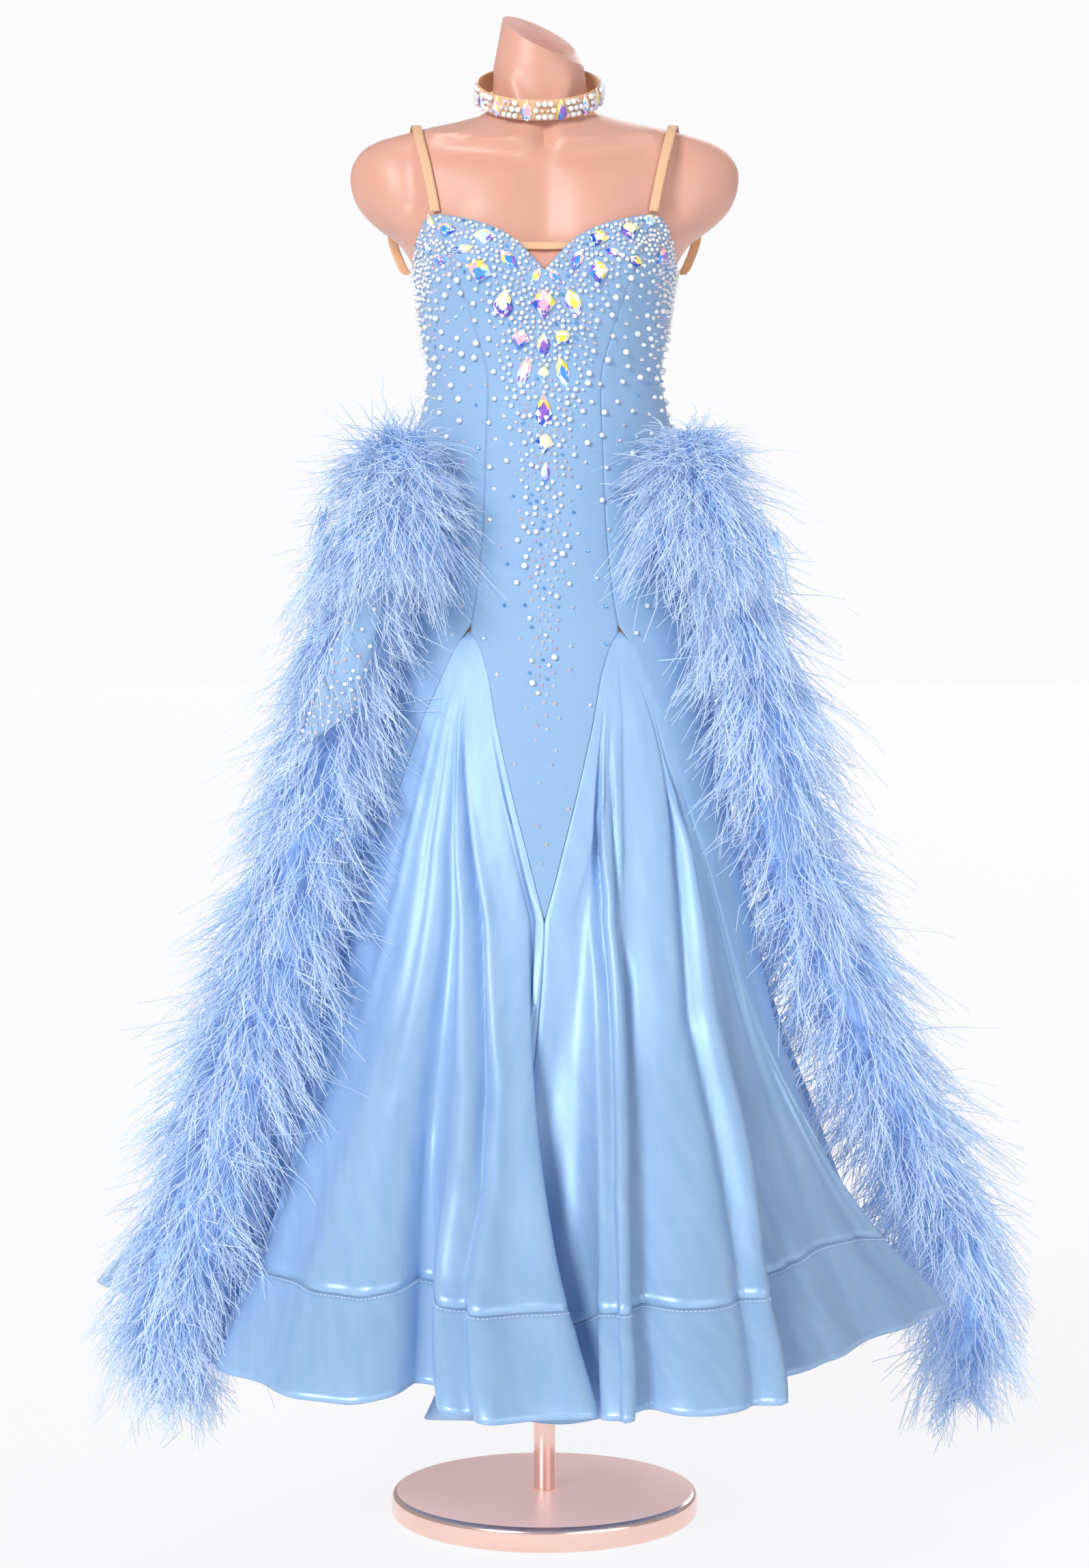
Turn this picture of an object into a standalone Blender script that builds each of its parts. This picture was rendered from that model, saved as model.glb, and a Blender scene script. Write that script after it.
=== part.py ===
"""A ballroom gown on a limbless dress form, stood on a pole and a round base.

Metres, +Z up. The origin is the centre of the base's underside. The gown faces -Y.
Angles round the figure are degrees from the front, growing towards +X, so 90 is the
wearer's left side and 180 the back. The cloth is worked out in three steps: a smooth
figure (GOWN_RINGS), the seams drawn on it (SEAMS, BODICE_SEAMS) and, for the satin
godets, the folds that their hem falls into (one table of Fold rows each).
"""
from collections import namedtuple
from math import atan2, cos, exp, hypot, pi, radians, sin

import bmesh
import bpy

# ---- driving sizes, metres ------------------------------------------------------------
BASE_RADIUS = 0.165
BASE_THICKNESS = 0.027
BASE_EDGE = 0.007
POLE_RADIUS = 0.0117
FLANGE_RADIUS = 0.045
FLANGE_THICKNESS = 0.008
FORM_BOTTOM = 0.895
SEAM_GAP = 0.0003
CREPE_WALL = 0.0015
SATIN_WALL = 0.0013
BAND_WALL = 0.0020
BAND_HEIGHT = 0.088
ELASTIC_WALL = 0.0012
STRAP_WIDTH = 0.010
TIP_HEIGHT = 0.953          # where the arches of the godets start
WAIST_HEIGHT = 1.215
CENTRE_POINT = 0.66         # points of the centre front and centre back panels
SIDE_POINT = 0.55           # points of the side panels
POINT_WIDTH = 0.0016        # a panel's point is this wide
GROWTH_OUT, GROWTH_ROUND = 1.15, 1.70   # how a fold opens below its start, out and round
CUP_ANGLE, CUP_HEIGHT = 34.0, 1.335
CUP_SPREAD, CUP_TALL, CUP_DEPTH = 21.0, 0.048, 0.014

# ---- the smooth figure of the gown, outside of the cloth --------------------------------
Ring = namedtuple("Ring", "z centre half_width front back")
GOWN_RINGS = [
    Ring(0.170, -0.026, 0.482, 0.486, 0.480),
    Ring(0.225, -0.022, 0.452, 0.460, 0.455),
    Ring(0.320, -0.017, 0.378, 0.385, 0.382),
    Ring(0.440, -0.009, 0.312, 0.306, 0.312),
    Ring(0.550, -0.003, 0.258, 0.236, 0.245),
    Ring(0.660, 0.000, 0.224, 0.190, 0.200),
    Ring(0.800, 0.000, 0.194, 0.149, 0.158),
    Ring(0.953, 0.000, 0.172, 0.121, 0.131),
    Ring(1.050, 0.000, 0.164, 0.115, 0.129),
    Ring(1.130, 0.000, 0.146, 0.104, 0.110),
    Ring(1.215, 0.000, 0.125, 0.092, 0.084),
    Ring(1.270, 0.000, 0.131, 0.100, 0.083),
    Ring(1.333, 0.000, 0.1415, 0.110, 0.087),
    Ring(1.360, 0.000, 0.153, 0.107, 0.090),
    Ring(1.400, 0.000, 0.166, 0.102, 0.094),
]

# ---- seams round the figure, angles in degrees on the +X side ---------------------------
# Below TIP_HEIGHT every seam line opens into the two edges of a godet.
Opening = namedtuple("Opening", "z front_in front_out side_in side_out back_in back_out")
SEAMS = [
    Opening(0.550, 0.0, 62.6, 62.6, 118.4, 118.4, 180.0),
    Opening(0.660, 0.0, 60.8, 64.6, 115.6, 120.0, 180.0),
    Opening(0.730, 5.2, 57.0, 67.5, 112.5, 124.0, 174.5),
    Opening(0.860, 15.9, 44.0, 77.0, 103.0, 137.0, 165.0),
    Opening(0.905, 19.0, 37.0, 82.5, 97.5, 144.0, 161.5),
    Opening(0.933, 22.3, 32.6, 86.0, 94.0, 148.5, 158.0),
    Opening(0.946, 24.9, 29.6, 88.0, 92.0, 150.8, 155.2),
    Opening(0.953, 27.0, 27.0, 90.0, 90.0, 153.0, 153.0),
]
BodiceSeam = namedtuple("BodiceSeam", "z front side back")
BODICE_SEAMS = [
    BodiceSeam(0.953, 27.0, 90.0, 153.0),
    BodiceSeam(1.000, 24.6, 90.0, 154.0),
    BodiceSeam(1.070, 23.4, 90.0, 155.0),
    BodiceSeam(1.215, 28.4, 90.0, 152.0),
    BodiceSeam(1.255, 32.2, 90.0, 149.0),
    BodiceSeam(1.333, 38.6, 90.0, 145.0),
    BodiceSeam(1.390, 43.0, 90.0, 143.0),
]
TopEdge = namedtuple("TopEdge", "angle z")
TOP_EDGE = [
    TopEdge(0, 1.325), TopEdge(4, 1.336), TopEdge(11, 1.357), TopEdge(18, 1.369),
    TopEdge(26, 1.377), TopEdge(36, 1.383), TopEdge(43, 1.386), TopEdge(49, 1.382),
    TopEdge(61, 1.358), TopEdge(72, 1.341), TopEdge(90, 1.331), TopEdge(115, 1.316),
    TopEdge(140, 1.282), TopEdge(160, 1.258), TopEdge(180, 1.250),
]

# ---- how each godet's hem falls, from its one seam to the next --------------------------
# share: place across the godet where it is still smooth; angle, radius and bottom: where
# the hem hangs; start: height where this fold begins.
Fold = namedtuple("Fold", "share angle radius bottom start")
FOLDS = {
    "front_right": [
        Fold(0.00, -14.9, 0.368, 0.190, 0.655), Fold(0.06, -4.7, 0.363, 0.186, 0.660),
        Fold(0.12, 4.4, 0.389, 0.190, 0.690), Fold(0.17, 6.9, 0.430, 0.204, 0.760),
        Fold(0.22, 6.7, 0.468, 0.211, 0.840), Fold(0.27, 8.5, 0.488, 0.212, 0.880),
        Fold(0.33, 10.9, 0.470, 0.213, 0.900), Fold(0.38, 12.9, 0.448, 0.215, 0.930),
        Fold(0.50, 16.8, 0.472, 0.213, 0.920),
        Fold(0.62, 21.2, 0.487, 0.213, 0.900), Fold(0.74, 27.9, 0.480, 0.217, 0.900),
        Fold(0.77, 27.2, 0.446, 0.220, 0.880), Fold(0.80, 31.5, 0.432, 0.224, 0.860),
        Fold(0.86, 47.0, 0.415, 0.236, 0.760), Fold(0.92, 63.0, 0.408, 0.240, 0.650),
        Fold(0.96, 78.0, 0.417, 0.234, 0.575), Fold(0.975, 86.6, 0.431, 0.229, 0.560),
        Fold(0.985, 90.6, 0.423, 0.227, 0.555), Fold(0.993, 91.0, 0.400, 0.225, 0.551),
        Fold(1.00, 93.0, 0.377, 0.224, 0.548),
    ],
    "side_right": [
        Fold(0.00, 93.0, 0.377, 0.224, 0.548), Fold(0.16, 98.5, 0.380, 0.221, 0.560),
        Fold(0.34, 104.0, 0.408, 0.216, 0.860), Fold(0.48, 109.0, 0.386, 0.214, 0.900),
        Fold(0.62, 114.0, 0.440, 0.210, 0.840), Fold(0.78, 119.5, 0.408, 0.212, 0.680),
        Fold(0.90, 124.0, 0.456, 0.212, 0.560), Fold(1.00, 129.0, 0.436, 0.214, 0.548),
    ],
    "back_right": [
        Fold(0.00, 129.0, 0.436, 0.214, 0.548), Fold(0.14, 135.0, 0.470, 0.214, 0.580),
        Fold(0.30, 141.5, 0.424, 0.210, 0.880), Fold(0.46, 149.0, 0.486, 0.208, 0.920),
        Fold(0.62, 156.5, 0.428, 0.208, 0.900), Fold(0.78, 163.5, 0.482, 0.210, 0.780),
        Fold(0.90, 169.0, 0.442, 0.212, 0.680), Fold(1.00, 175.0, 0.456, 0.212, 0.655),
    ],
    "back_left": [
        Fold(0.00, -185.0, 0.456, 0.212, 0.655), Fold(0.12, -178.5, 0.488, 0.212, 0.680),
        Fold(0.26, -171.5, 0.436, 0.208, 0.860), Fold(0.42, -164.0, 0.484, 0.208, 0.920),
        Fold(0.58, -156.0, 0.424, 0.210, 0.900), Fold(0.74, -147.5, 0.476, 0.212, 0.760),
        Fold(0.88, -137.5, 0.436, 0.214, 0.580), Fold(1.00, -128.0, 0.450, 0.218, 0.548),
    ],
    "side_left": [
        Fold(0.00, -128.0, 0.450, 0.218, 0.548), Fold(0.14, -121.0, 0.478, 0.222, 0.580),
        Fold(0.28, -113.5, 0.434, 0.228, 0.760), Fold(0.40, -106.0, 0.462, 0.236, 0.920),
        Fold(0.52, -96.6, 0.486, 0.243, 0.920), Fold(0.64, -88.0, 0.452, 0.238, 0.880),
        Fold(0.78, -75.0, 0.424, 0.234, 0.680), Fold(0.90, -62.0, 0.412, 0.231, 0.560),
        Fold(1.00, -50.8, 0.396, 0.228, 0.548),
    ],
    "front_left": [
        Fold(0.00, -50.8, 0.396, 0.228, 0.548), Fold(0.03, -46.6, 0.404, 0.227, 0.560),
        Fold(0.06, -47.4, 0.424, 0.226, 0.590), Fold(0.10, -49.6, 0.440, 0.226, 0.640),
        Fold(0.16, -44.0, 0.448, 0.225, 0.720), Fold(0.24, -36.6, 0.462, 0.224, 0.860),
        Fold(0.34, -28.5, 0.484, 0.222, 0.920), Fold(0.42, -22.4, 0.488, 0.221, 0.920),
        Fold(0.48, -19.2, 0.462, 0.226, 0.900), Fold(0.52, -17.4, 0.420, 0.232, 0.880),
        Fold(0.56, -14.4, 0.424, 0.228, 0.880), Fold(0.62, -11.2, 0.464, 0.215, 0.900),
        Fold(0.72, -5.9, 0.486, 0.211, 0.900), Fold(0.82, 0.0, 0.474, 0.212, 0.880),
        Fold(0.90, 5.6, 0.461, 0.213, 0.840), Fold(0.93, 2.4, 0.434, 0.208, 0.780),
        Fold(0.96, -7.0, 0.410, 0.196, 0.700), Fold(0.985, -16.2, 0.392, 0.190, 0.665),
        Fold(0.993, -17.4, 0.380, 0.189, 0.658), Fold(1.00, -14.9, 0.368, 0.190, 0.655),
    ],
}
# godet: the seam line it opens from, side of the figure; in order round the skirt
GODETS = {
    "front_right": ("front", 1), "side_right": ("side", 1), "back_right": ("back", 1),
    "back_left": ("back", -1), "side_left": ("side", -1), "front_left": ("front", -1),
}
COLUMN_STEP = 0.031         # rows of the Fold tables further apart than this get more columns
GODET_TIP = 0.9515
GODET_HEIGHTS = [GODET_TIP, 0.946, 0.933, 0.905, 0.860, 0.730, 0.660, 0.550, 0.430]
PANEL_HEIGHTS = [0.660, 0.730, 0.860, 0.905, 0.933, 0.946, 0.953]
HIP_HEIGHTS = [1.010, 1.080, 1.150, WAIST_HEIGHT]
BODICE_STEPS = [0.28, 0.54, 0.78, 1.00]

# ---- the dress form ---------------------------------------------------------------------
FormRing = namedtuple("FormRing", "z centre half_width front back roundness")
FORM_RINGS = [
    FormRing(0.895, 0.000, 0.148, 0.096, 0.104, 2.00),
    FormRing(0.907, 0.000, 0.162, 0.110, 0.118, 2.00),
    FormRing(0.953, 0.000, 0.1675, 0.1165, 0.1265, 2.00),
    FormRing(1.050, 0.000, 0.1595, 0.1105, 0.1245, 2.00),
    FormRing(1.130, 0.000, 0.1415, 0.0995, 0.1055, 2.00),
    FormRing(1.215, 0.000, 0.1208, 0.0878, 0.0798, 2.00),
    FormRing(1.270, 0.000, 0.1268, 0.0955, 0.0788, 2.00),
    FormRing(1.333, 0.000, 0.1372, 0.1050, 0.0828, 2.00),
    FormRing(1.348, 0.000, 0.1440, 0.1020, 0.0840, 1.95),
    FormRing(1.364, 0.000, 0.1560, 0.0980, 0.0860, 1.85),
    FormRing(1.380, 0.000, 0.1780, 0.0950, 0.0880, 1.74),
    FormRing(1.400, 0.000, 0.1970, 0.0915, 0.0900, 1.70),
    FormRing(1.428, 0.000, 0.2060, 0.0850, 0.0890, 1.70),
    FormRing(1.452, 0.000, 0.2010, 0.0770, 0.0850, 1.70),
    FormRing(1.470, -0.001, 0.1860, 0.0680, 0.0790, 1.70),
    FormRing(1.481, -0.001, 0.1600, 0.0605, 0.0730, 1.74),
    FormRing(1.490, -0.002, 0.0920, 0.0530, 0.0660, 1.80),
    FormRing(1.499, -0.003, 0.0630, 0.0480, 0.0580, 1.90),
    FormRing(1.512, -0.004, 0.0535, 0.0460, 0.0515, 2.00),
    FormRing(1.530, -0.005, 0.0495, 0.0450, 0.0480, 2.00),
    FormRing(1.550, -0.006, 0.0480, 0.0450, 0.0450, 2.00),
]
FORM_HEIGHTS = [ring.z for ring in FORM_RINGS]
FORM_SIDES = 26
NECK_CUT = dict(z=1.589, centre=-0.006, half_width=0.0385, front=0.042, back=0.042,
                fall_sideways=-0.45, rise_back=0.22)

# ---- trims ------------------------------------------------------------------------------
Strap = namedtuple("Strap", "x y z")
STRAP_ROUTE = [
    Strap(0.1135, -0.0775, 1.3885), Strap(0.1175, -0.0720, 1.410), Strap(0.1240, -0.0630, 1.440),
    Strap(0.1300, -0.0505, 1.465), Strap(0.1340, -0.0330, 1.4835), Strap(0.1365, -0.0050, 1.4915),
    Strap(0.1400, 0.0260, 1.4860), Strap(0.1465, 0.0450, 1.470), Strap(0.1560, 0.0555, 1.440),
    Strap(0.1630, 0.0560, 1.405), Strap(0.1640, 0.0500, 1.375), Strap(0.1535, 0.0360, 1.345),
    Strap(0.1465, 0.0290, 1.3350),
]
CHOKER = dict(centre=(-0.006, -0.008, 1.5225), half_width=0.0650, half_depth=0.0710,
              height=0.022, tilt=24.0, sides=24)
STRIP = dict(z=1.3505, half_span=13.0, height=0.008, behind=0.0050)

Oval = namedtuple("Oval", "z x y half_width half_depth")
GAUNTLET = [
    Oval(1.020, 0.172, -0.146, 0.0150, 0.0085), Oval(0.960, 0.189, -0.138, 0.0185, 0.0085),
    Oval(0.905, 0.207, -0.136, 0.0215, 0.0085), Oval(0.868, 0.219, -0.137, 0.0235, 0.0085),
]
GAUNTLET_BEHIND, GAUNTLET_OUT = 0.138, 0.021   # the right gauntlet hangs behind its float
GAUNTLET_POINT = 0.036      # how far the mitt's point hangs below its last ring
GAUNTLET_SIDES = 16
CUFF = dict(centre=(0.150, -0.106, 1.114), radii=(0.062, 0.050, 0.076), lean=0.10)
CUFF_RINGS, CUFF_SIDES = 9, 16
FLOAT_LEFT = [
    Oval(1.014, -0.186, -0.092, 0.040, 0.028), Oval(0.950, -0.206, -0.076, 0.048, 0.034),
    Oval(0.870, -0.222, -0.078, 0.050, 0.036), Oval(0.800, -0.232, -0.088, 0.050, 0.036),
    Oval(0.720, -0.252, -0.102, 0.052, 0.038), Oval(0.600, -0.287, -0.130, 0.055, 0.040),
    Oval(0.470, -0.322, -0.172, 0.056, 0.040), Oval(0.350, -0.358, -0.222, 0.056, 0.038),
    Oval(0.270, -0.372, -0.252, 0.052, 0.034), Oval(0.210, -0.368, -0.262, 0.042, 0.028),
    Oval(0.180, -0.362, -0.262, 0.022, 0.016),
]
FLOAT_RIGHT = [
    Oval(1.014, 0.190, -0.088, 0.040, 0.030), Oval(0.950, 0.214, -0.060, 0.046, 0.034),
    Oval(0.870, 0.232, -0.050, 0.050, 0.036), Oval(0.800, 0.244, -0.042, 0.052, 0.038),
    Oval(0.720, 0.262, -0.030, 0.052, 0.040), Oval(0.600, 0.310, -0.008, 0.055, 0.042),
    Oval(0.470, 0.368, 0.022, 0.056, 0.042), Oval(0.340, 0.430, 0.055, 0.056, 0.042),
    Oval(0.250, 0.460, 0.078, 0.054, 0.040), Oval(0.170, 0.466, 0.086, 0.048, 0.034),
    Oval(0.105, 0.458, 0.084, 0.030, 0.022),
]
FLOAT_SIDES = 14
CLOTH_CLEARANCE = 0.0015    # of the feather trims and gauntlets from the cloth behind

COLOURS = {
    "form": ((0.80, 0.42, 0.35), 0.45, 0.0), "rose_gold": ((0.90, 0.56, 0.50), 0.12, 1.0),
    "crepe": ((0.33, 0.52, 0.83), 0.75, 0.0), "satin": ((0.37, 0.57, 0.88), 0.35, 0.0),
    "elastic": ((0.86, 0.62, 0.42), 0.70, 0.0), "stones": ((0.88, 0.88, 0.86), 0.25, 0.0),
    "feather": ((0.45, 0.60, 0.90), 0.85, 0.0),
}


# ---- helpers ----------------------------------------------------------------------------
def smooth_value(places, values, place):
    """Cubic through the points of a table, level beyond its ends."""
    if place <= places[0]:
        return values[0]
    if place >= places[-1]:
        return values[-1]
    i = max(k for k in range(len(places) - 1) if places[k] <= place)
    step = places[i + 1] - places[i]

    def slope(k):
        low, high = max(k - 1, 0), min(k + 1, len(places) - 1)
        return (values[high] - values[low]) / (places[high] - places[low])

    t = (place - places[i]) / step
    return ((2 * t**3 - 3 * t**2 + 1) * values[i] + (t**3 - 2 * t**2 + t) * step * slope(i)
            + (3 * t**2 - 2 * t**3) * values[i + 1] + (t**3 - t**2) * step * slope(i + 1))


def straight_value(places, values, place):
    """Straight lines through the points of a table."""
    place = min(max(place, places[0]), places[-1])
    i = min(max(k for k in range(len(places)) if places[k] <= place), len(places) - 2)
    t = (place - places[i]) / (places[i + 1] - places[i])
    return values[i] + t * (values[i + 1] - values[i])


def column(table, name):
    return [getattr(row, name) for row in table]


def mix(a, b, t):
    return tuple(p + (q - p) * t for p, q in zip(a, b))


def add_object(name, vertices, faces, finish):
    mesh = bpy.data.meshes.new(name)
    mesh.from_pydata(vertices, [], faces)
    work = bmesh.new()
    work.from_mesh(mesh)
    if work.calc_volume(signed=True) < 0.0:
        bmesh.ops.reverse_faces(work, faces=work.faces)
    work.to_mesh(mesh)
    work.free()
    mesh.shade_smooth()
    mesh.set_sharp_from_angle(angle=radians(40))
    obj = bpy.data.objects.new(name, mesh)
    obj.data.materials.append(material(finish))
    PARTS.objects.link(obj)
    return obj


def material(finish):
    if finish in bpy.data.materials:
        return bpy.data.materials[finish]
    colour, roughness, metallic = COLOURS[finish]
    made = bpy.data.materials.new(finish)
    made.use_nodes = True
    shader = made.node_tree.nodes["Principled BSDF"]
    shader.inputs["Base Color"].default_value = (*colour, 1.0)
    shader.inputs["Roughness"].default_value = roughness
    shader.inputs["Metallic"].default_value = metallic
    return made


def keep_primitive(name, finish):
    """Take the primitive that was just added into the parts collection."""
    obj = bpy.context.object
    obj.name = obj.data.name = name
    for owner in list(obj.users_collection):
        owner.objects.unlink(obj)
    PARTS.objects.link(obj)
    obj.data.materials.append(material(finish))
    obj.data.shade_smooth()
    obj.data.set_sharp_from_angle(angle=radians(40))
    return obj


# ---- cloth: the smooth figure -----------------------------------------------------------
def gown_section(z):
    heights = column(GOWN_RINGS, "z")
    return [smooth_value(heights, column(GOWN_RINGS, name), z)
            for name in ("centre", "half_width", "front", "back")]


def cup(angle, z, depth):
    """The fullness of the two cups, a soft mound each side of the centre front."""
    across = (abs((angle + 180.0) % 360.0 - 180.0) - CUP_ANGLE) / CUP_SPREAD
    return depth * exp(-across**2 - ((z - CUP_HEIGHT) / CUP_TALL)**2)


def gown_point(angle, z, out=0.0):
    centre, half_width, front, back = gown_section(z)
    side, ahead = sin(radians(angle)), cos(radians(angle))
    depth = front if ahead > 0 else back
    out += cup(angle, z, CUP_DEPTH)
    return (centre + (half_width + out) * side, -(depth + out) * ahead, z)


def gown_tangent(angle, z):
    """Level direction along the cloth, towards a growing angle."""
    a, b = gown_point(angle - 0.5, z), gown_point(angle + 0.5, z)
    length = hypot(b[0] - a[0], b[1] - a[1])
    return ((b[0] - a[0]) / length, (b[1] - a[1]) / length)


def seam_angle(line, edge, side, z):
    """Angle of a seam line; below the tips, of the edge of its godet nearer the centre
    front ("in") or further from it ("out")."""
    if z >= TIP_HEIGHT:
        angle = smooth_value(column(BODICE_SEAMS, "z"), column(BODICE_SEAMS, line), z)
    else:
        angle = straight_value(column(SEAMS, "z"), column(SEAMS, line + "_" + edge), z)
    return side * angle


# ---- cloth: walls -----------------------------------------------------------------------
def inner_row(row, wall, first, last):
    """The inner face of a row of cloth points: each is moved level, square to the row."""
    inner = []
    for i, point in enumerate(row):
        if i == 0:
            along = first
        elif i == len(row) - 1:
            along = last
        else:
            dx, dy = row[i + 1][0] - row[i - 1][0], row[i + 1][1] - row[i - 1][1]
            along = (dx / hypot(dx, dy), dy / hypot(dx, dy))
        inner.append((point[0] - along[1] * wall, point[1] + along[0] * wall, point[2]))
    return inner


def nudged(point, along, step):
    return (point[0] + along[0] * step, point[1] + along[1] * step, point[2])


def add_wall(name, rows, tangents, wall, finish):
    """A closed wall of cloth. rows run upwards and each from low to high angle; tangents
    holds the level direction at the two ends of each row."""
    outer, inner = [], []
    for row, (first, last) in zip(rows, tangents):
        row = [nudged(row[0], first, SEAM_GAP / 2), *row[1:-1], nudged(row[-1], last, -SEAM_GAP / 2)]
        outer.append(row)
        inner.append(inner_row(row, wall, first, last))
    across, up = len(rows[0]), len(rows)
    vertices = [p for row in outer for p in row] + [p for row in inner for p in row]

    def at(layer, j, i):
        return layer * across * up + j * across + i

    faces = []
    for j in range(up - 1):
        for i in range(across - 1):
            faces.append((at(0, j, i), at(0, j, i + 1), at(0, j + 1, i + 1), at(0, j + 1, i)))
            faces.append((at(1, j, i), at(1, j + 1, i), at(1, j + 1, i + 1), at(1, j, i + 1)))
        faces.append((at(0, j, 0), at(0, j + 1, 0), at(1, j + 1, 0), at(1, j, 0)))
        last = across - 1
        faces.append((at(0, j, last), at(1, j, last), at(1, j + 1, last), at(0, j + 1, last)))
    for i in range(across - 1):
        top = up - 1
        faces.append((at(0, 0, i), at(1, 0, i), at(1, 0, i + 1), at(0, 0, i + 1)))
        faces.append((at(0, top, i), at(0, top, i + 1), at(1, top, i + 1), at(1, top, i)))
    return add_object(name, vertices, faces, finish)


def add_loft(name, rings, finish):
    """A closed solid through rings of points, which run upwards, each anticlockwise."""
    around = len(rings[0])
    vertices = [p for ring in rings for p in ring]
    faces = [tuple(reversed(range(around)))]
    for j in range(len(rings) - 1):
        for i in range(around):
            k = (i + 1) % around
            faces.append((j * around + i, j * around + k, (j + 1) * around + k, (j + 1) * around + i))
    faces.append(tuple((len(rings) - 1) * around + i for i in range(around)))
    return add_object(name, vertices, faces, finish)


def add_tube(name, outer, inner, finish):
    """An open-ended tube between an outer and an inner set of rings."""
    around, count = len(outer[0]), len(outer)
    vertices = [p for ring in outer + inner for p in ring]

    def at(layer, j, i):
        return (layer * count + j) * around + i % around

    faces = []
    for i in range(around):
        for j in range(count - 1):
            faces.append((at(0, j, i), at(0, j, i + 1), at(0, j + 1, i + 1), at(0, j + 1, i)))
            faces.append((at(1, j, i), at(1, j + 1, i), at(1, j + 1, i + 1), at(1, j, i + 1)))
        top = count - 1
        faces.append((at(0, 0, i), at(1, 0, i), at(1, 0, i + 1), at(0, 0, i + 1)))
        faces.append((at(0, top, i), at(0, top, i + 1), at(1, top, i + 1), at(1, top, i)))
    return add_object(name, vertices, faces, finish)


# ---- the crepe panels -------------------------------------------------------------------
def top_edge_height(angle):
    return straight_value(column(TOP_EDGE, "angle"), column(TOP_EDGE, "z"), abs(angle))


def add_panel(name, low_edge, high_edge, point, columns):
    """A panel between two seam lines, from its point in the skirt to the neckline.
    Each edge is (line, edge, side, whole turns added)."""
    def angles(z):
        low, high = [seam_angle(line, edge, side, z) + turn
                     for line, edge, side, turn in (low_edge, high_edge)]
        return [low + (high - low) * i / columns for i in range(columns + 1)]

    heights = [z for z in PANEL_HEIGHTS if z > point] + HIP_HEIGHTS
    rows = [[gown_point(a, z) for a in angles(z)] for z in heights]
    tip = [gown_point(a, point) for a in angles(point)]
    width = hypot(rows[0][-1][0] - rows[0][0][0], rows[0][-1][1] - rows[0][0][1])
    rows.insert(0, [mix(end, start, POINT_WIDTH / width) for end, start in zip(tip, rows[0])])
    ends = [(angles(z)[0], angles(z)[-1]) for z in [point] + heights]
    for step in BODICE_STEPS:
        row = []
        for i in range(columns + 1):
            z = WAIST_HEIGHT
            for _ in range(4):
                angle = angles(z)[i]
                wrapped = (angle + 180.0) % 360.0 - 180.0
                z = WAIST_HEIGHT + (top_edge_height(wrapped) - WAIST_HEIGHT) * step
            row.append(gown_point(angle, z))
            if i in (0, columns):
                ends.append(angle)
        rows.append(row)
        ends[-2:] = [tuple(ends[-2:])]
    tangents = [(gown_tangent(a, row[0][2]), gown_tangent(b, row[-1][2]))
                for (a, b), row in zip(ends, rows)]
    return add_wall(name, rows, tangents, CREPE_WALL, "crepe")


def make_panels():
    add_panel("panel_centre_front", ("front", "in", -1, 0), ("front", "in", 1, 0), CENTRE_POINT, 8)
    add_panel("panel_side_front_right", ("front", "out", 1, 0), ("side", "in", 1, 0), SIDE_POINT, 5)
    add_panel("panel_side_back_right", ("side", "out", 1, 0), ("back", "in", 1, 0), SIDE_POINT, 5)
    add_panel("panel_centre_back", ("back", "out", 1, 0), ("back", "out", -1, 360), CENTRE_POINT, 6)
    add_panel("panel_side_back_left", ("back", "in", -1, 0), ("side", "out", -1, 0), SIDE_POINT, 5)
    add_panel("panel_side_front_left", ("side", "in", -1, 0), ("front", "out", -1, 0), SIDE_POINT, 5)


# ---- the satin godets and their hem bands -----------------------------------------------
def godet_columns(godet):
    """Where the columns of a godet's cloth lie: (share, hem x, hem y, bottom, start)."""
    folds = FOLDS[godet]
    hems = [(f.radius * sin(radians(f.angle)), -f.radius * cos(radians(f.angle))) for f in folds]
    gaps = [hypot(b[0] - a[0], b[1] - a[1]) for a, b in zip(hems, hems[1:])]
    places = [0.0]
    for gap in gaps:
        places.append(places[-1] + gap ** 0.75)
    tables = [column(folds, "share"), [h[0] for h in hems], [h[1] for h in hems],
              column(folds, "bottom"), column(folds, "start")]
    spots = []
    for a, b, gap in zip(places, places[1:], gaps):
        count = max(1, round(gap / COLUMN_STEP))
        spots += [a + (b - a) * k / count for k in range(count)]
    spots.append(places[-1])
    return [tuple(smooth_value(places, values, spot) for values in tables) for spot in spots]


def godet_angle(godet, share, z):
    line, side = GODETS[godet]
    edges = ("in", "out") if side > 0 else ("out", "in")
    low, high = [seam_angle(line, edge, side, min(z, GODET_TIP)) for edge in edges]
    return low + (high - low) * share


def godet_point(godet, spot, z):
    share, hem_x, hem_y, bottom, start = spot
    smooth = gown_point(godet_angle(godet, share, z), z)
    if z >= start:
        return smooth
    low = gown_point(godet_angle(godet, share, bottom), bottom)
    fallen = (start - z) / (start - bottom)
    reach = hypot(*smooth[:2]) + (hypot(hem_x, hem_y) - hypot(*low[:2])) * fallen ** GROWTH_OUT
    swing = atan2(hem_x, -hem_y) - atan2(low[0], -low[1])
    swing = (swing + pi) % (2 * pi) - pi
    turn = atan2(smooth[0], -smooth[1]) + swing * fallen ** GROWTH_ROUND
    return (reach * sin(turn), -reach * cos(turn), z)


def godet_rows(godet):
    spots = godet_columns(godet)
    rows = [[godet_point(godet, s, s[3]) for s in spots]]
    rows.append([godet_point(godet, s, s[3] + BAND_HEIGHT - SEAM_GAP) for s in spots])
    rows.append([godet_point(godet, s, s[3] + BAND_HEIGHT) for s in spots])
    rows += [[godet_point(godet, s, z) for s in spots] for z in reversed(GODET_HEIGHTS)]
    return rows


BAND_ROWS = 2               # the first rows of a godet are its hem band


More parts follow.
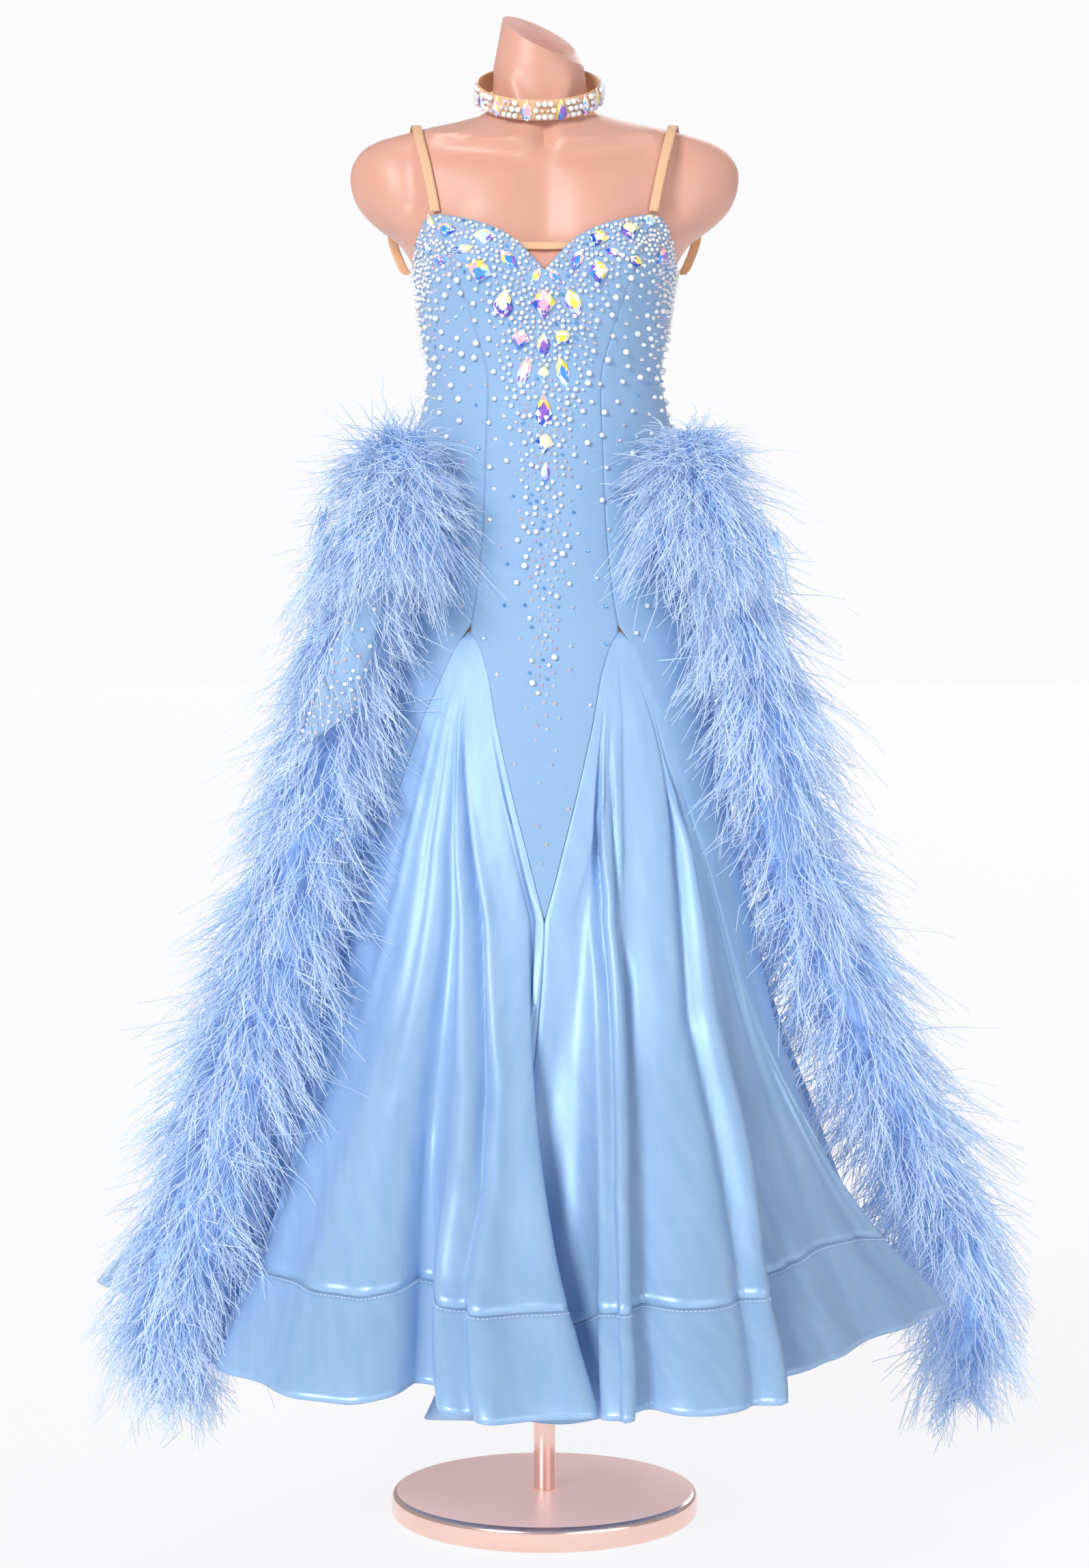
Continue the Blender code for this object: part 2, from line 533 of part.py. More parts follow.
def seam_direction(before, after, angle):
    """Level direction across the seam between two rows. Below the panels' points the rows
    meet and it runs from one to the other; above, it follows the smooth figure."""
    if hypot(after[0][0] - before[-1][0], after[0][1] - before[-1][1]) < POINT_WIDTH:
        dx, dy = after[1][0] - before[-2][0], after[1][1] - before[-2][1]
        return (dx / hypot(dx, dy), dy / hypot(dx, dy))
    return gown_tangent(angle, after[0][2])


def make_godets():
    names = list(GODETS)
    rows = {name: godet_rows(name) for name in names}
    for place, name in enumerate(names):
        before, after = rows[names[place - 1]], rows[names[(place + 1) % len(names)]]
        tangents = []
        for previous, row, following in zip(before, rows[name], after):
            first, last = [godet_angle(name, share, row[0][2]) for share in (0.0, 1.0)]
            tangents.append((seam_direction(previous, row, first),
                             seam_direction(row, following, last)))
        add_wall("hem_band_" + name, rows[name][:BAND_ROWS], tangents[:BAND_ROWS],
                 BAND_WALL, "satin")
        add_wall("godet_" + name, rows[name][BAND_ROWS:], tangents[BAND_ROWS:],
                 SATIN_WALL, "satin")


# ---- the dress form and its stand -------------------------------------------------------
def form_point(angle, z):
    heights = column(FORM_RINGS, "z")
    centre, half_width, front, back, power = [
        smooth_value(heights, column(FORM_RINGS, name), z)
        for name in ("centre", "half_width", "front", "back", "roundness")]
    side, ahead = sin(radians(angle)), cos(radians(angle))
    depth = front if ahead > 0 else back
    out = cup(angle, z, CUP_DEPTH - 0.0015)
    stretch = (abs(side) ** power + abs(ahead) ** power) ** (-1.0 / power)
    return (centre + (half_width + out) * side * stretch, -(depth + out) * ahead * stretch, z)


def make_form():
    angles = [360.0 * i / FORM_SIDES for i in range(FORM_SIDES)]
    rings = [[form_point(a, z) for a in angles] for z in FORM_HEIGHTS]
    cut = NECK_CUT
    top = []
    for a in angles:
        depth = cut["front"] if cos(radians(a)) > 0 else cut["back"]
        x, y = cut["half_width"] * sin(radians(a)), -depth * cos(radians(a))
        top.append((cut["centre"] + x, y, cut["z"] + cut["fall_sideways"] * x + cut["rise_back"] * y))
    rings.append(top)
    add_loft("dress_form", rings, "form")


def make_stand():
    bpy.ops.mesh.primitive_cylinder_add(vertices=48, radius=BASE_RADIUS, depth=BASE_THICKNESS,
                                        location=(0, 0, BASE_THICKNESS / 2))
    base = keep_primitive("stand_base", "rose_gold")
    edge = base.modifiers.new("rounded_edge", "BEVEL")
    edge.width = BASE_EDGE
    edge.segments = 2
    edge.limit_method = "ANGLE"

    low = BASE_THICKNESS + SEAM_GAP
    high = FORM_BOTTOM - SEAM_GAP - FLANGE_THICKNESS - SEAM_GAP
    bpy.ops.mesh.primitive_cylinder_add(vertices=24, radius=POLE_RADIUS, depth=high - low,
                                        location=(0, 0, (low + high) / 2))
    keep_primitive("stand_pole", "rose_gold")
    bpy.ops.mesh.primitive_cylinder_add(vertices=24, radius=FLANGE_RADIUS, depth=FLANGE_THICKNESS,
                                        location=(0, 0, high + SEAM_GAP + FLANGE_THICKNESS / 2))
    keep_primitive("stand_flange", "rose_gold")


# ---- straps, neckline strip and choker ----------------------------------------------------
def make_strap(name, side):
    """A flat strap along its route, its width level and square to the route."""
    places = [float(i) for i in range(len(STRAP_ROUTE))]
    route = [tuple(smooth_value(places, column(STRAP_ROUTE, axis), i / 2)
                   for axis in ("x", "y", "z")) for i in range(2 * len(places) - 1)]
    outer, inner = [], []
    for i, (x, y, z) in enumerate(route):
        before, after = route[max(i - 1, 0)], route[min(i + 1, len(route) - 1)]
        along = [b - a for a, b in zip(before, after)]
        length = sum(c * c for c in along) ** 0.5
        along = [c / length for c in along]
        across = (1.0, 0.0, 0.0)
        out = (0.0, -along[2], along[1])
        size = hypot(out[1], out[2])
        out = (0.0, out[1] / size, out[2] / size)
        edges = [tuple(c + a * w for c, a in zip((x, y, z), across))
                 for w in (-STRAP_WIDTH / 2, STRAP_WIDTH / 2)]
        lifted = [tuple(c + o * ELASTIC_WALL for c, o in zip(p, out)) for p in edges]
        outer.append([(side * p[0], p[1], p[2]) for p in lifted])
        inner.append([(side * p[0], p[1], p[2]) for p in edges])
    rings = [[a[0], a[1], b[1], b[0]] for a, b in zip(outer, inner)]
    add_loft(name, rings, "elastic")


def make_strip():
    """The elastic across the V, its ends tucked behind the edges of the neckline."""
    low = STRIP["z"] - STRIP["height"] / 2
    steps = 8
    angles = [STRIP["half_span"] * (2.0 * i / steps - 1.0) for i in range(steps + 1)]
    rows = [[gown_point(a, z, -STRIP["behind"]) for a in angles]
            for z in (low, low + STRIP["height"])]
    ends = (gown_tangent(angles[0], low), gown_tangent(angles[-1], low))
    add_wall("neckline_strip", rows, [ends, ends], ELASTIC_WALL, "elastic")


def make_choker():
    sides, tilt = CHOKER["sides"], radians(CHOKER["tilt"])
    middle = CHOKER["centre"]

    def ring(height, thick):
        points = []
        for i in range(sides):
            turn = 2 * pi * i / sides
            x = (CHOKER["half_width"] - thick) * sin(turn)
            y = -(CHOKER["half_depth"] - thick) * cos(turn)
            points.append((middle[0] + x, middle[1] + y * cos(tilt) - height * sin(tilt),
                           middle[2] + y * sin(tilt) + height * cos(tilt)))
        return points

    half = CHOKER["height"] / 2
    add_tube("choker_band", [ring(-half, 0), ring(half, 0)],
             [ring(-half, ELASTIC_WALL), ring(half, ELASTIC_WALL)], "elastic")


# ---- gauntlets, cuffs and floats ----------------------------------------------------------
def clear_of_gown(point, samples):
    """Move a point straight out from the middle until it is clear of the cloth."""
    x, y, z = point
    centre, half_width, front, back = gown_section(z)
    depth = front if y < 0 else back
    ratio = hypot((x - centre) / half_width, y / depth)
    need = 1.0 + (CLOTH_CLEARANCE + 0.0008) / min(half_width, depth)
    if z > TIP_HEIGHT:
        if ratio < need:
            x, y = centre + (x - centre) * need / ratio, y * need / ratio
        return (x, y, z)
    here = hypot(x, y)
    reach = max((hypot(sx, sy) for sx, sy in samples
                 if sx * x + sy * y > hypot(sx, sy) * here * cos(radians(4.0))), default=0.0)
    if here < reach + CLOTH_CLEARANCE:
        scale = (reach + CLOTH_CLEARANCE) / here
        x, y = x * scale, y * scale
    return (x, y, z)


def skirt_samples(z):
    """Points of the skirt's outside at a height: its panels, and its godets lower down."""
    points = [gown_point(a, z)[:2] for a in range(-180, 180, 3)] if z > SIDE_POINT else []
    for godet in GODETS:
        for spot in godet_columns(godet):
            if spot[3] <= z + 0.03:
                points.append(godet_point(godet, spot, max(z, spot[3]))[:2])
    return points


def make_float(name, route):
    """The reach of one feather float, pressed where it lies against the skirt."""
    rings = []
    for oval in reversed(route):
        samples = skirt_samples(oval.z)
        ring = []
        for i in range(FLOAT_SIDES):
            turn = 2 * pi * i / FLOAT_SIDES
            point = (oval.x + oval.half_width * sin(turn), oval.y - oval.half_depth * cos(turn), oval.z)
            ring.append(clear_of_gown(point, samples))
        rings.append(ring)
    add_loft(name, rings, "feather")


def make_cuff(name, side):
    """The reach of a feather cuff: an egg pressed against the hip."""
    (cx, cy, cz), (rx, ry, rz) = CUFF["centre"], CUFF["radii"]
    rings = []
    for j in range(1, CUFF_RINGS + 1):
        rise = -cos(pi * j / (CUFF_RINGS + 1))
        wide = sin(pi * j / (CUFF_RINGS + 1))
        ring = []
        for i in range(CUFF_SIDES):
            turn = 2 * pi * i / CUFF_SIDES
            point = (cx - CUFF["lean"] * rz * rise + rx * wide * sin(turn),
                     cy - ry * wide * cos(turn), cz + rz * rise)
            ring.append(clear_of_gown(point, []))
        rings.append([(side * x, y, z) for x, y, z in ring])
    add_loft(name, rings, "feather")


def make_gauntlet(name, side, back, out=0.0):
    """A flattened tapered mitt, open at both ends, its lower end cut to a point."""
    def rings(thick):
        made = []
        for j, oval in enumerate(reversed(GAUNTLET)):
            ring = []
            for i in range(GAUNTLET_SIDES):
                turn = 2 * pi * i / GAUNTLET_SIDES
                drop = GAUNTLET_POINT * (0.5 + 0.5 * sin(turn)) if j == 0 else 0.0
                x = oval.x + out + (oval.half_width - thick) * sin(turn) + drop * 0.32
                y = oval.y + back - (oval.half_depth - thick) * cos(turn)
                ring.append((side * x, y, oval.z - drop))
            made.append(ring)
        return made

    add_tube(name, rings(0.0), rings(CREPE_WALL), "crepe")


# ---- build --------------------------------------------------------------------------------
for old in list(bpy.data.objects):
    bpy.data.objects.remove(old, do_unlink=True)
PARTS = bpy.data.collections.new("ballroom_gown")
bpy.context.scene.collection.children.link(PARTS)

make_stand()
make_form()
make_panels()
make_godets()
make_strap("strap_right", 1)
make_strap("strap_left", -1)
make_strip()
make_choker()
make_gauntlet("gauntlet_left", -1, 0.0)
make_gauntlet("gauntlet_right", 1, GAUNTLET_BEHIND, GAUNTLET_OUT)
make_cuff("cuff_feathers_left", -1)
make_cuff("cuff_feathers_right", 1)
make_float("float_feathers_left", FLOAT_LEFT)
make_float("float_feathers_right", FLOAT_RIGHT)
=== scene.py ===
# %% [markdown]
# # A ballroom gown on a dress form
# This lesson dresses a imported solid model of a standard-dance gown: matte crepe panels, satin godets on a
# wide banded hem, pearls and crystals, and feather floats. The solids give every size; here each one gets
# its real cloth surface, folds and trim. All lengths are metres, +Z is up and the gown faces -Y.

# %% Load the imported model
from collections import namedtuple
from math import cos, pi, radians, sin

import bmesh
import bpy
import numpy as np
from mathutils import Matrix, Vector


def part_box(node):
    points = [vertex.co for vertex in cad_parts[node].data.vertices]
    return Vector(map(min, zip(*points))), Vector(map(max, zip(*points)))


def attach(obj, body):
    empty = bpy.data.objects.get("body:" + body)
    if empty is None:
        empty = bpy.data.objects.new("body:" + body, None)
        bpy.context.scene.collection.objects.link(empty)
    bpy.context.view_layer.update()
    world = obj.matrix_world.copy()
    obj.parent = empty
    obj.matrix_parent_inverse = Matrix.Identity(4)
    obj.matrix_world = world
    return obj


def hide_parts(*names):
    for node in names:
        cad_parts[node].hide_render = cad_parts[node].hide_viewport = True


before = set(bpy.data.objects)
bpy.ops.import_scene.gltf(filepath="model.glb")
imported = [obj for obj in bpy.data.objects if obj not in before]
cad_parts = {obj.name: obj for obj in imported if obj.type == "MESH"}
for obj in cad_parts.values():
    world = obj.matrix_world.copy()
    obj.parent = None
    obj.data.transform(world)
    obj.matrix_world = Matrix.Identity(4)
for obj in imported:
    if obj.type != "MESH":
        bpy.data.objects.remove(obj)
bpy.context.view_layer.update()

# %% [markdown]
# ## Camera, floor and light
# The gown is seen straight from the front, from just above its waist, through a long lens. A pale floor
# that runs far out and a white sky stand for the studio. A soft light from the upper left models the
# folds, a weaker one from the right fills them and a third lights the back. The floor glows, so that it
# stays as white as the sky.

# %% Camera
CAMERA_DISTANCE = 3.6
CAMERA_HEIGHT = 0.95
CAMERA_DIP = radians(2.56)
camera_data = bpy.data.cameras.new("front_camera")
camera_data.lens = 77.25
camera_data.sensor_width = 36.0
camera = bpy.data.objects.new("front_camera", camera_data)
camera.location = (0.0, -CAMERA_DISTANCE, CAMERA_HEIGHT)
camera.rotation_euler = (pi / 2 - CAMERA_DIP, 0.0, 0.0)
bpy.context.scene.collection.objects.link(camera)
bpy.context.scene.camera = camera
print("camera at", tuple(camera.location))

# %% Floor and lights
FLOOR_RADIUS = 60.0
FLOOR_GREY, FLOOR_GLOW = 0.07, 0.872
SKY_SEEN, SKY_LIGHT = 0.982, 0.36     # strength of the white sky as seen, and as a light
STUDIO_WHITE = (0.985, 0.985, 1.0, 1.0)
GOWN_MIDDLE = (0.0, 0.0, 0.85)        # what the lights are turned to


def plain_material(name, colour, roughness):
    made = bpy.data.materials.new(name)
    made.use_nodes = True
    shader = made.node_tree.nodes["Principled BSDF"]
    shader.inputs["Base Color"].default_value = (*colour, 1.0)
    shader.inputs["Roughness"].default_value = roughness
    return made


def far_light(name, place, spread, strength):
    """A light so far off that it falls evenly on the gown and the whole floor."""
    data = bpy.data.lights.new(name, "SUN")
    data.angle = radians(spread)
    data.energy = strength
    lamp = bpy.data.objects.new(name, data)
    lamp.location = place
    lamp.rotation_euler = (Vector(GOWN_MIDDLE) - Vector(place)).to_track_quat("-Z", "Y").to_euler()
    bpy.context.scene.collection.objects.link(lamp)


bpy.ops.mesh.primitive_circle_add(vertices=96, radius=FLOOR_RADIUS, fill_type="NGON")
floor = bpy.context.object
floor.name = "studio_floor"
pale_floor = plain_material("pale_floor", (FLOOR_GREY, FLOOR_GREY, FLOOR_GREY), 0.9)
floor_shader = pale_floor.node_tree.nodes["Principled BSDF"]
floor_shader.inputs["Emission Color"].default_value = STUDIO_WHITE
floor_shader.inputs["Emission Strength"].default_value = FLOOR_GLOW
floor.data.materials.append(pale_floor)

far_light("key_light", (-2.3, -3.5, 2.7), 22.0, 2.40)
far_light("fill_light", (3.0, -3.6, 1.2), 50.0, 0.95)
far_light("back_light", (1.2, 3.4, 2.8), 30.0, 0.60)

world = bpy.data.worlds.new("white_studio")
world.use_nodes = True
sky = world.node_tree.nodes["Background"]
sky.inputs["Color"].default_value = STUDIO_WHITE
strength = world.node_tree.nodes.new("ShaderNodeMapRange")
strength.inputs["To Min"].default_value = SKY_LIGHT
strength.inputs["To Max"].default_value = SKY_SEEN
rays = world.node_tree.nodes.new("ShaderNodeLightPath")
world.node_tree.links.new(rays.outputs["Is Camera Ray"], strength.inputs["Value"])
world.node_tree.links.new(strength.outputs["Result"], sky.inputs["Strength"])
bpy.context.scene.world = world
bpy.context.scene.view_settings.view_transform = "Standard"

# %% [markdown]
# ## The cut of the gown
# A fitted gown is drafted on a smooth figure: rings give its outline at a few heights, seam lines run over
# it, and each godet's hem is a short table of where its folds hang. These are the sizes that the solids
# were made from, so everything built from them lies where the solids are.

# %% Sizes of the figure and its seams
SATIN_THICK, CREPE_THICK, BAND_THICK, ELASTIC_THICK = 0.0010, 0.0014, 0.0018, 0.0012
TIP_HEIGHT, GODET_TIP, WAIST_HEIGHT = 0.953, 0.9515, 1.215
CENTRE_POINT, SIDE_POINT = 0.66, 0.55
BAND_HEIGHT = 0.088
GROWTH_OUT, GROWTH_ROUND = 1.15, 1.70
CUP_ANGLE, CUP_HEIGHT, CUP_SPREAD, CUP_TALL, CUP_DEPTH = 34.0, 1.335, 21.0, 0.048, 0.014

Ring = namedtuple("Ring", "z centre half_width front back")
GOWN_RINGS = [
    Ring(0.170, -0.026, 0.482, 0.486, 0.480), Ring(0.225, -0.022, 0.452, 0.460, 0.455),
    Ring(0.320, -0.017, 0.378, 0.385, 0.382), Ring(0.440, -0.009, 0.312, 0.306, 0.312),
    Ring(0.550, -0.003, 0.258, 0.236, 0.245), Ring(0.660, 0.000, 0.224, 0.190, 0.200),
    Ring(0.800, 0.000, 0.194, 0.149, 0.158), Ring(0.953, 0.000, 0.172, 0.121, 0.131),
    Ring(1.050, 0.000, 0.164, 0.115, 0.129), Ring(1.130, 0.000, 0.146, 0.104, 0.110),
    Ring(1.215, 0.000, 0.125, 0.092, 0.084), Ring(1.270, 0.000, 0.131, 0.100, 0.083),
    Ring(1.333, 0.000, 0.1415, 0.110, 0.087), Ring(1.360, 0.000, 0.153, 0.107, 0.090),
    Ring(1.400, 0.000, 0.166, 0.102, 0.094),
]
Opening = namedtuple("Opening", "z front_in front_out side_in side_out back_in back_out")
SEAMS = [
    Opening(0.550, 0.0, 62.6, 62.6, 118.4, 118.4, 180.0),
    Opening(0.660, 0.0, 60.8, 64.6, 115.6, 120.0, 180.0),
    Opening(0.730, 5.2, 57.0, 67.5, 112.5, 124.0, 174.5),
    Opening(0.860, 15.9, 44.0, 77.0, 103.0, 137.0, 165.0),
    Opening(0.905, 19.0, 37.0, 82.5, 97.5, 144.0, 161.5),
    Opening(0.933, 22.3, 32.6, 86.0, 94.0, 148.5, 158.0),
    Opening(0.946, 24.9, 29.6, 88.0, 92.0, 150.8, 155.2),
    Opening(0.953, 27.0, 27.0, 90.0, 90.0, 153.0, 153.0),
]
BodiceSeam = namedtuple("BodiceSeam", "z front side back")
BODICE_SEAMS = [
    BodiceSeam(0.953, 27.0, 90.0, 153.0), BodiceSeam(1.000, 24.6, 90.0, 154.0),
    BodiceSeam(1.070, 23.4, 90.0, 155.0), BodiceSeam(1.215, 28.4, 90.0, 152.0),
    BodiceSeam(1.255, 32.2, 90.0, 149.0), BodiceSeam(1.333, 38.6, 90.0, 145.0),
    BodiceSeam(1.390, 43.0, 90.0, 143.0),
]
TopEdge = namedtuple("TopEdge", "angle z")
TOP_EDGE = [
    TopEdge(0, 1.325), TopEdge(4, 1.336), TopEdge(11, 1.357), TopEdge(18, 1.369),
    TopEdge(26, 1.377), TopEdge(36, 1.383), TopEdge(43, 1.386), TopEdge(49, 1.382),
    TopEdge(61, 1.358), TopEdge(72, 1.341), TopEdge(90, 1.331), TopEdge(115, 1.316),
    TopEdge(140, 1.282), TopEdge(160, 1.258), TopEdge(180, 1.250),
]

# %% How each godet's hem falls
# share: place across the godet where it is still smooth; angle, radius and bottom: where its hem hangs;
# start: the height where the fold begins.
Fold = namedtuple("Fold", "share angle radius bottom start")
FOLDS = {
    "front_right": [
        Fold(0.00, -14.9, 0.368, 0.190, 0.655), Fold(0.06, -4.7, 0.363, 0.186, 0.660),
        Fold(0.12, 4.4, 0.389, 0.190, 0.690), Fold(0.17, 6.9, 0.430, 0.204, 0.760),
        Fold(0.22, 6.7, 0.468, 0.211, 0.840), Fold(0.27, 8.5, 0.488, 0.212, 0.880),
        Fold(0.33, 10.9, 0.470, 0.213, 0.900), Fold(0.38, 12.9, 0.448, 0.215, 0.930),
        Fold(0.50, 16.8, 0.472, 0.213, 0.920),
        Fold(0.62, 21.2, 0.487, 0.213, 0.900), Fold(0.74, 27.9, 0.480, 0.217, 0.900),
        Fold(0.77, 27.2, 0.446, 0.220, 0.880), Fold(0.80, 31.5, 0.432, 0.224, 0.860),
        Fold(0.86, 47.0, 0.415, 0.236, 0.760), Fold(0.92, 63.0, 0.408, 0.240, 0.650),
        Fold(0.96, 78.0, 0.417, 0.234, 0.575), Fold(0.975, 86.6, 0.431, 0.229, 0.560),
        Fold(0.985, 90.6, 0.423, 0.227, 0.555), Fold(0.993, 91.0, 0.400, 0.225, 0.551),
        Fold(1.00, 93.0, 0.377, 0.224, 0.548),
    ],
    "side_right": [
        Fold(0.00, 93.0, 0.377, 0.224, 0.548), Fold(0.16, 98.5, 0.380, 0.221, 0.560),
        Fold(0.34, 104.0, 0.408, 0.216, 0.860), Fold(0.48, 109.0, 0.386, 0.214, 0.900),
        Fold(0.62, 114.0, 0.440, 0.210, 0.840), Fold(0.78, 119.5, 0.408, 0.212, 0.680),
        Fold(0.90, 124.0, 0.456, 0.212, 0.560), Fold(1.00, 129.0, 0.436, 0.214, 0.548),
    ],
    "back_right": [
        Fold(0.00, 129.0, 0.436, 0.214, 0.548), Fold(0.14, 135.0, 0.470, 0.214, 0.580),
        Fold(0.30, 141.5, 0.424, 0.210, 0.880), Fold(0.46, 149.0, 0.486, 0.208, 0.920),
        Fold(0.62, 156.5, 0.428, 0.208, 0.900), Fold(0.78, 163.5, 0.482, 0.210, 0.780),
        Fold(0.90, 169.0, 0.442, 0.212, 0.680), Fold(1.00, 175.0, 0.456, 0.212, 0.655),
    ],
    "back_left": [
        Fold(0.00, -185.0, 0.456, 0.212, 0.655), Fold(0.12, -178.5, 0.488, 0.212, 0.680),
        Fold(0.26, -171.5, 0.436, 0.208, 0.860), Fold(0.42, -164.0, 0.484, 0.208, 0.920),
        Fold(0.58, -156.0, 0.424, 0.210, 0.900), Fold(0.74, -147.5, 0.476, 0.212, 0.760),
        Fold(0.88, -137.5, 0.436, 0.214, 0.580), Fold(1.00, -128.0, 0.450, 0.218, 0.548),
    ],
    "side_left": [
        Fold(0.00, -128.0, 0.450, 0.218, 0.548), Fold(0.14, -121.0, 0.478, 0.222, 0.580),
        Fold(0.28, -113.5, 0.434, 0.228, 0.760), Fold(0.40, -106.0, 0.462, 0.236, 0.920),
        Fold(0.52, -96.6, 0.486, 0.243, 0.920), Fold(0.64, -88.0, 0.452, 0.238, 0.880),
        Fold(0.78, -75.0, 0.424, 0.234, 0.680), Fold(0.90, -62.0, 0.412, 0.231, 0.560),
        Fold(1.00, -50.8, 0.396, 0.228, 0.548),
    ],
    "front_left": [
        Fold(0.00, -50.8, 0.396, 0.228, 0.548), Fold(0.03, -46.6, 0.404, 0.227, 0.560),
        Fold(0.06, -47.4, 0.424, 0.226, 0.590), Fold(0.10, -49.6, 0.440, 0.226, 0.640),
        Fold(0.16, -44.0, 0.448, 0.225, 0.720), Fold(0.24, -36.6, 0.462, 0.224, 0.860),
        Fold(0.34, -28.5, 0.484, 0.222, 0.920), Fold(0.42, -22.4, 0.488, 0.221, 0.920),
        Fold(0.48, -19.2, 0.462, 0.226, 0.900), Fold(0.52, -17.4, 0.420, 0.232, 0.880),
        Fold(0.56, -14.4, 0.424, 0.228, 0.880), Fold(0.62, -11.2, 0.464, 0.215, 0.900),
        Fold(0.72, -5.9, 0.486, 0.211, 0.900), Fold(0.82, 0.0, 0.474, 0.212, 0.880),
        Fold(0.90, 5.6, 0.461, 0.213, 0.840), Fold(0.93, 2.4, 0.434, 0.208, 0.780),
        Fold(0.96, -7.0, 0.410, 0.196, 0.700), Fold(0.985, -16.2, 0.392, 0.190, 0.665),
        Fold(0.993, -17.4, 0.380, 0.189, 0.658), Fold(1.00, -14.9, 0.368, 0.190, 0.655),
    ],
}
# godet: the seam line it opens from, side of the figure; in order round the skirt
GODETS = {
    "front_right": ("front", 1), "side_right": ("side", 1), "back_right": ("back", 1),
    "back_left": ("back", -1), "side_left": ("side", -1), "front_left": ("front", -1),
}
print("fold rows:", {name: len(rows) for name, rows in FOLDS.items()})

# %% Read a table as a smooth curve
def column(table, name):
    return np.array([getattr(row, name) for row in table], float)


def smooth_value(places, values, place):
    """Cubic through the points of a table, level beyond its ends; place may be an array."""
    place = np.clip(place, places[0], places[-1])
    i = np.clip(np.searchsorted(places, place, side="right") - 1, 0, len(places) - 2)
    low = np.maximum(np.arange(len(places)) - 1, 0)
    high = np.minimum(np.arange(len(places)) + 1, len(places) - 1)
    slope = (values[high] - values[low]) / (places[high] - places[low])
    step = places[i + 1] - places[i]
    t = (place - places[i]) / step
    return ((2 * t**3 - 3 * t**2 + 1) * values[i] + (t**3 - 2 * t**2 + t) * step * slope[i]
            + (3 * t**2 - 2 * t**3) * values[i + 1] + (t**3 - t**2) * step * slope[i + 1])


def smooth_step(low, high, place):
    t = np.clip((place - low) / (high - low), 0.0, 1.0)
    return t * t * (3 - 2 * t)


# %% Points of the smooth figure
def gown_section(z):
    heights = column(GOWN_RINGS, "z")
    return [smooth_value(heights, column(GOWN_RINGS, name), z)
            for name in ("centre", "half_width", "front", "back")]


def cup(angle, z, depth):
    """The fullness of the two cups, a soft mound each side of the centre front."""
    across = (np.abs((angle + 180.0) % 360.0 - 180.0) - CUP_ANGLE) / CUP_SPREAD
    return depth * np.exp(-across**2 - ((z - CUP_HEIGHT) / CUP_TALL)**2)


def gown_point(angle, z, out=0.0):
    """Points on the outside of the smooth gown; angle in degrees from the front towards +X."""
    angle, z = np.broadcast_arrays(np.asarray(angle, float), np.asarray(z, float))
    centre, half_width, front, back = gown_section(z)
    side, ahead = np.sin(np.radians(angle)), np.cos(np.radians(angle))
    depth = np.where(ahead > 0, front, back)
    out = out + cup(angle, z, CUP_DEPTH)
    return np.stack([centre + (half_width + out) * side, -(depth + out) * ahead, z], axis=-1)


def seam_angle(line, edge, side, z):
    """Angle of a seam line; below the tips, of one of the two edges of its godet."""
    above = smooth_value(column(BODICE_SEAMS, "z"), column(BODICE_SEAMS, line), z)
    below = np.interp(z, column(SEAMS, "z"), column(SEAMS, line + "_" + edge))
    return side * np.where(z >= TIP_HEIGHT, above, below)


def top_edge_height(angle):
    wrapped = np.abs((angle + 180.0) % 360.0 - 180.0)
    return np.interp(wrapped, column(TOP_EDGE, "angle"), column(TOP_EDGE, "z"))


print("bust at 1.333 m:", np.round(gown_point(np.array([0, 34, 90, 180]), 1.333), 3).tolist())

# %% [markdown]
# ## Cloth: a thin shell from a grid of points
# Each cloth piece is cut flat, so it has two directions of its own. A grid of points keeps them: columns
# run down the cloth and rows run across it. The piece's UV map holds the distance along each in metres,
# so a weave keeps its scale and follows every fold, and a Solidify modifier gives the cloth its thickness.

# %% A piece of cloth
SHEETS = {}
LEAST_FLAT = 0.0101


def level_normals(grid):
    """Outward level directions, square to the rows of a grid."""
    along = np.gradient(grid, axis=1)[..., :2]
    along /= np.maximum(np.linalg.norm(along, axis=-1, keepdims=True), 1e-9)
    return np.stack([along[..., 1], -along[..., 0], np.zeros(along.shape[:2])], axis=-1)


def grid_distances(grid):
    """Metres along the rows and down the columns of a grid of points."""
    across = np.linalg.norm(np.diff(grid, axis=1), axis=-1)
    down = np.linalg.norm(np.diff(grid, axis=0), axis=-1)
    u = np.concatenate([np.zeros((len(grid), 1)), np.cumsum(across, axis=1)], axis=1)
    v = np.concatenate([np.zeros((1, grid.shape[1])), np.cumsum(down, axis=0)], axis=0)
    return u - u[:, -1:] / 2, v


def grid_mesh(name, grid, closed=False):
    """A mesh of quads through a grid of points, rows upwards, each running towards +X at the
    front; closed joins each row's end to its start."""
    rows, count = grid.shape[:2]
    u, v = grid_distances(grid)
    mesh = bpy.data.meshes.new(name)
    faces, corners = [], []
    for j in range(rows - 1):
        for i in range(count if closed else count - 1):
            k = (i + 1) % count
            quad = [(j, i), (j, k), (j + 1, k), (j + 1, i)]
            faces.append([r * count + c for r, c in quad])
            wrap = u[j, -1] - u[j, 0] if k < i else 0.0
            corners += [(u[r, c] + (wrap if c < i else 0.0), v[r, c]) for r, c in quad]
    mesh.from_pydata(grid.reshape(-1, 3).tolist(), [], faces)
    layer = mesh.uv_layers.new(name="cloth_metres")
    layer.data.foreach_set("uv", np.array(corners, np.float32).ravel())
    mesh.shade_smooth()
    return mesh


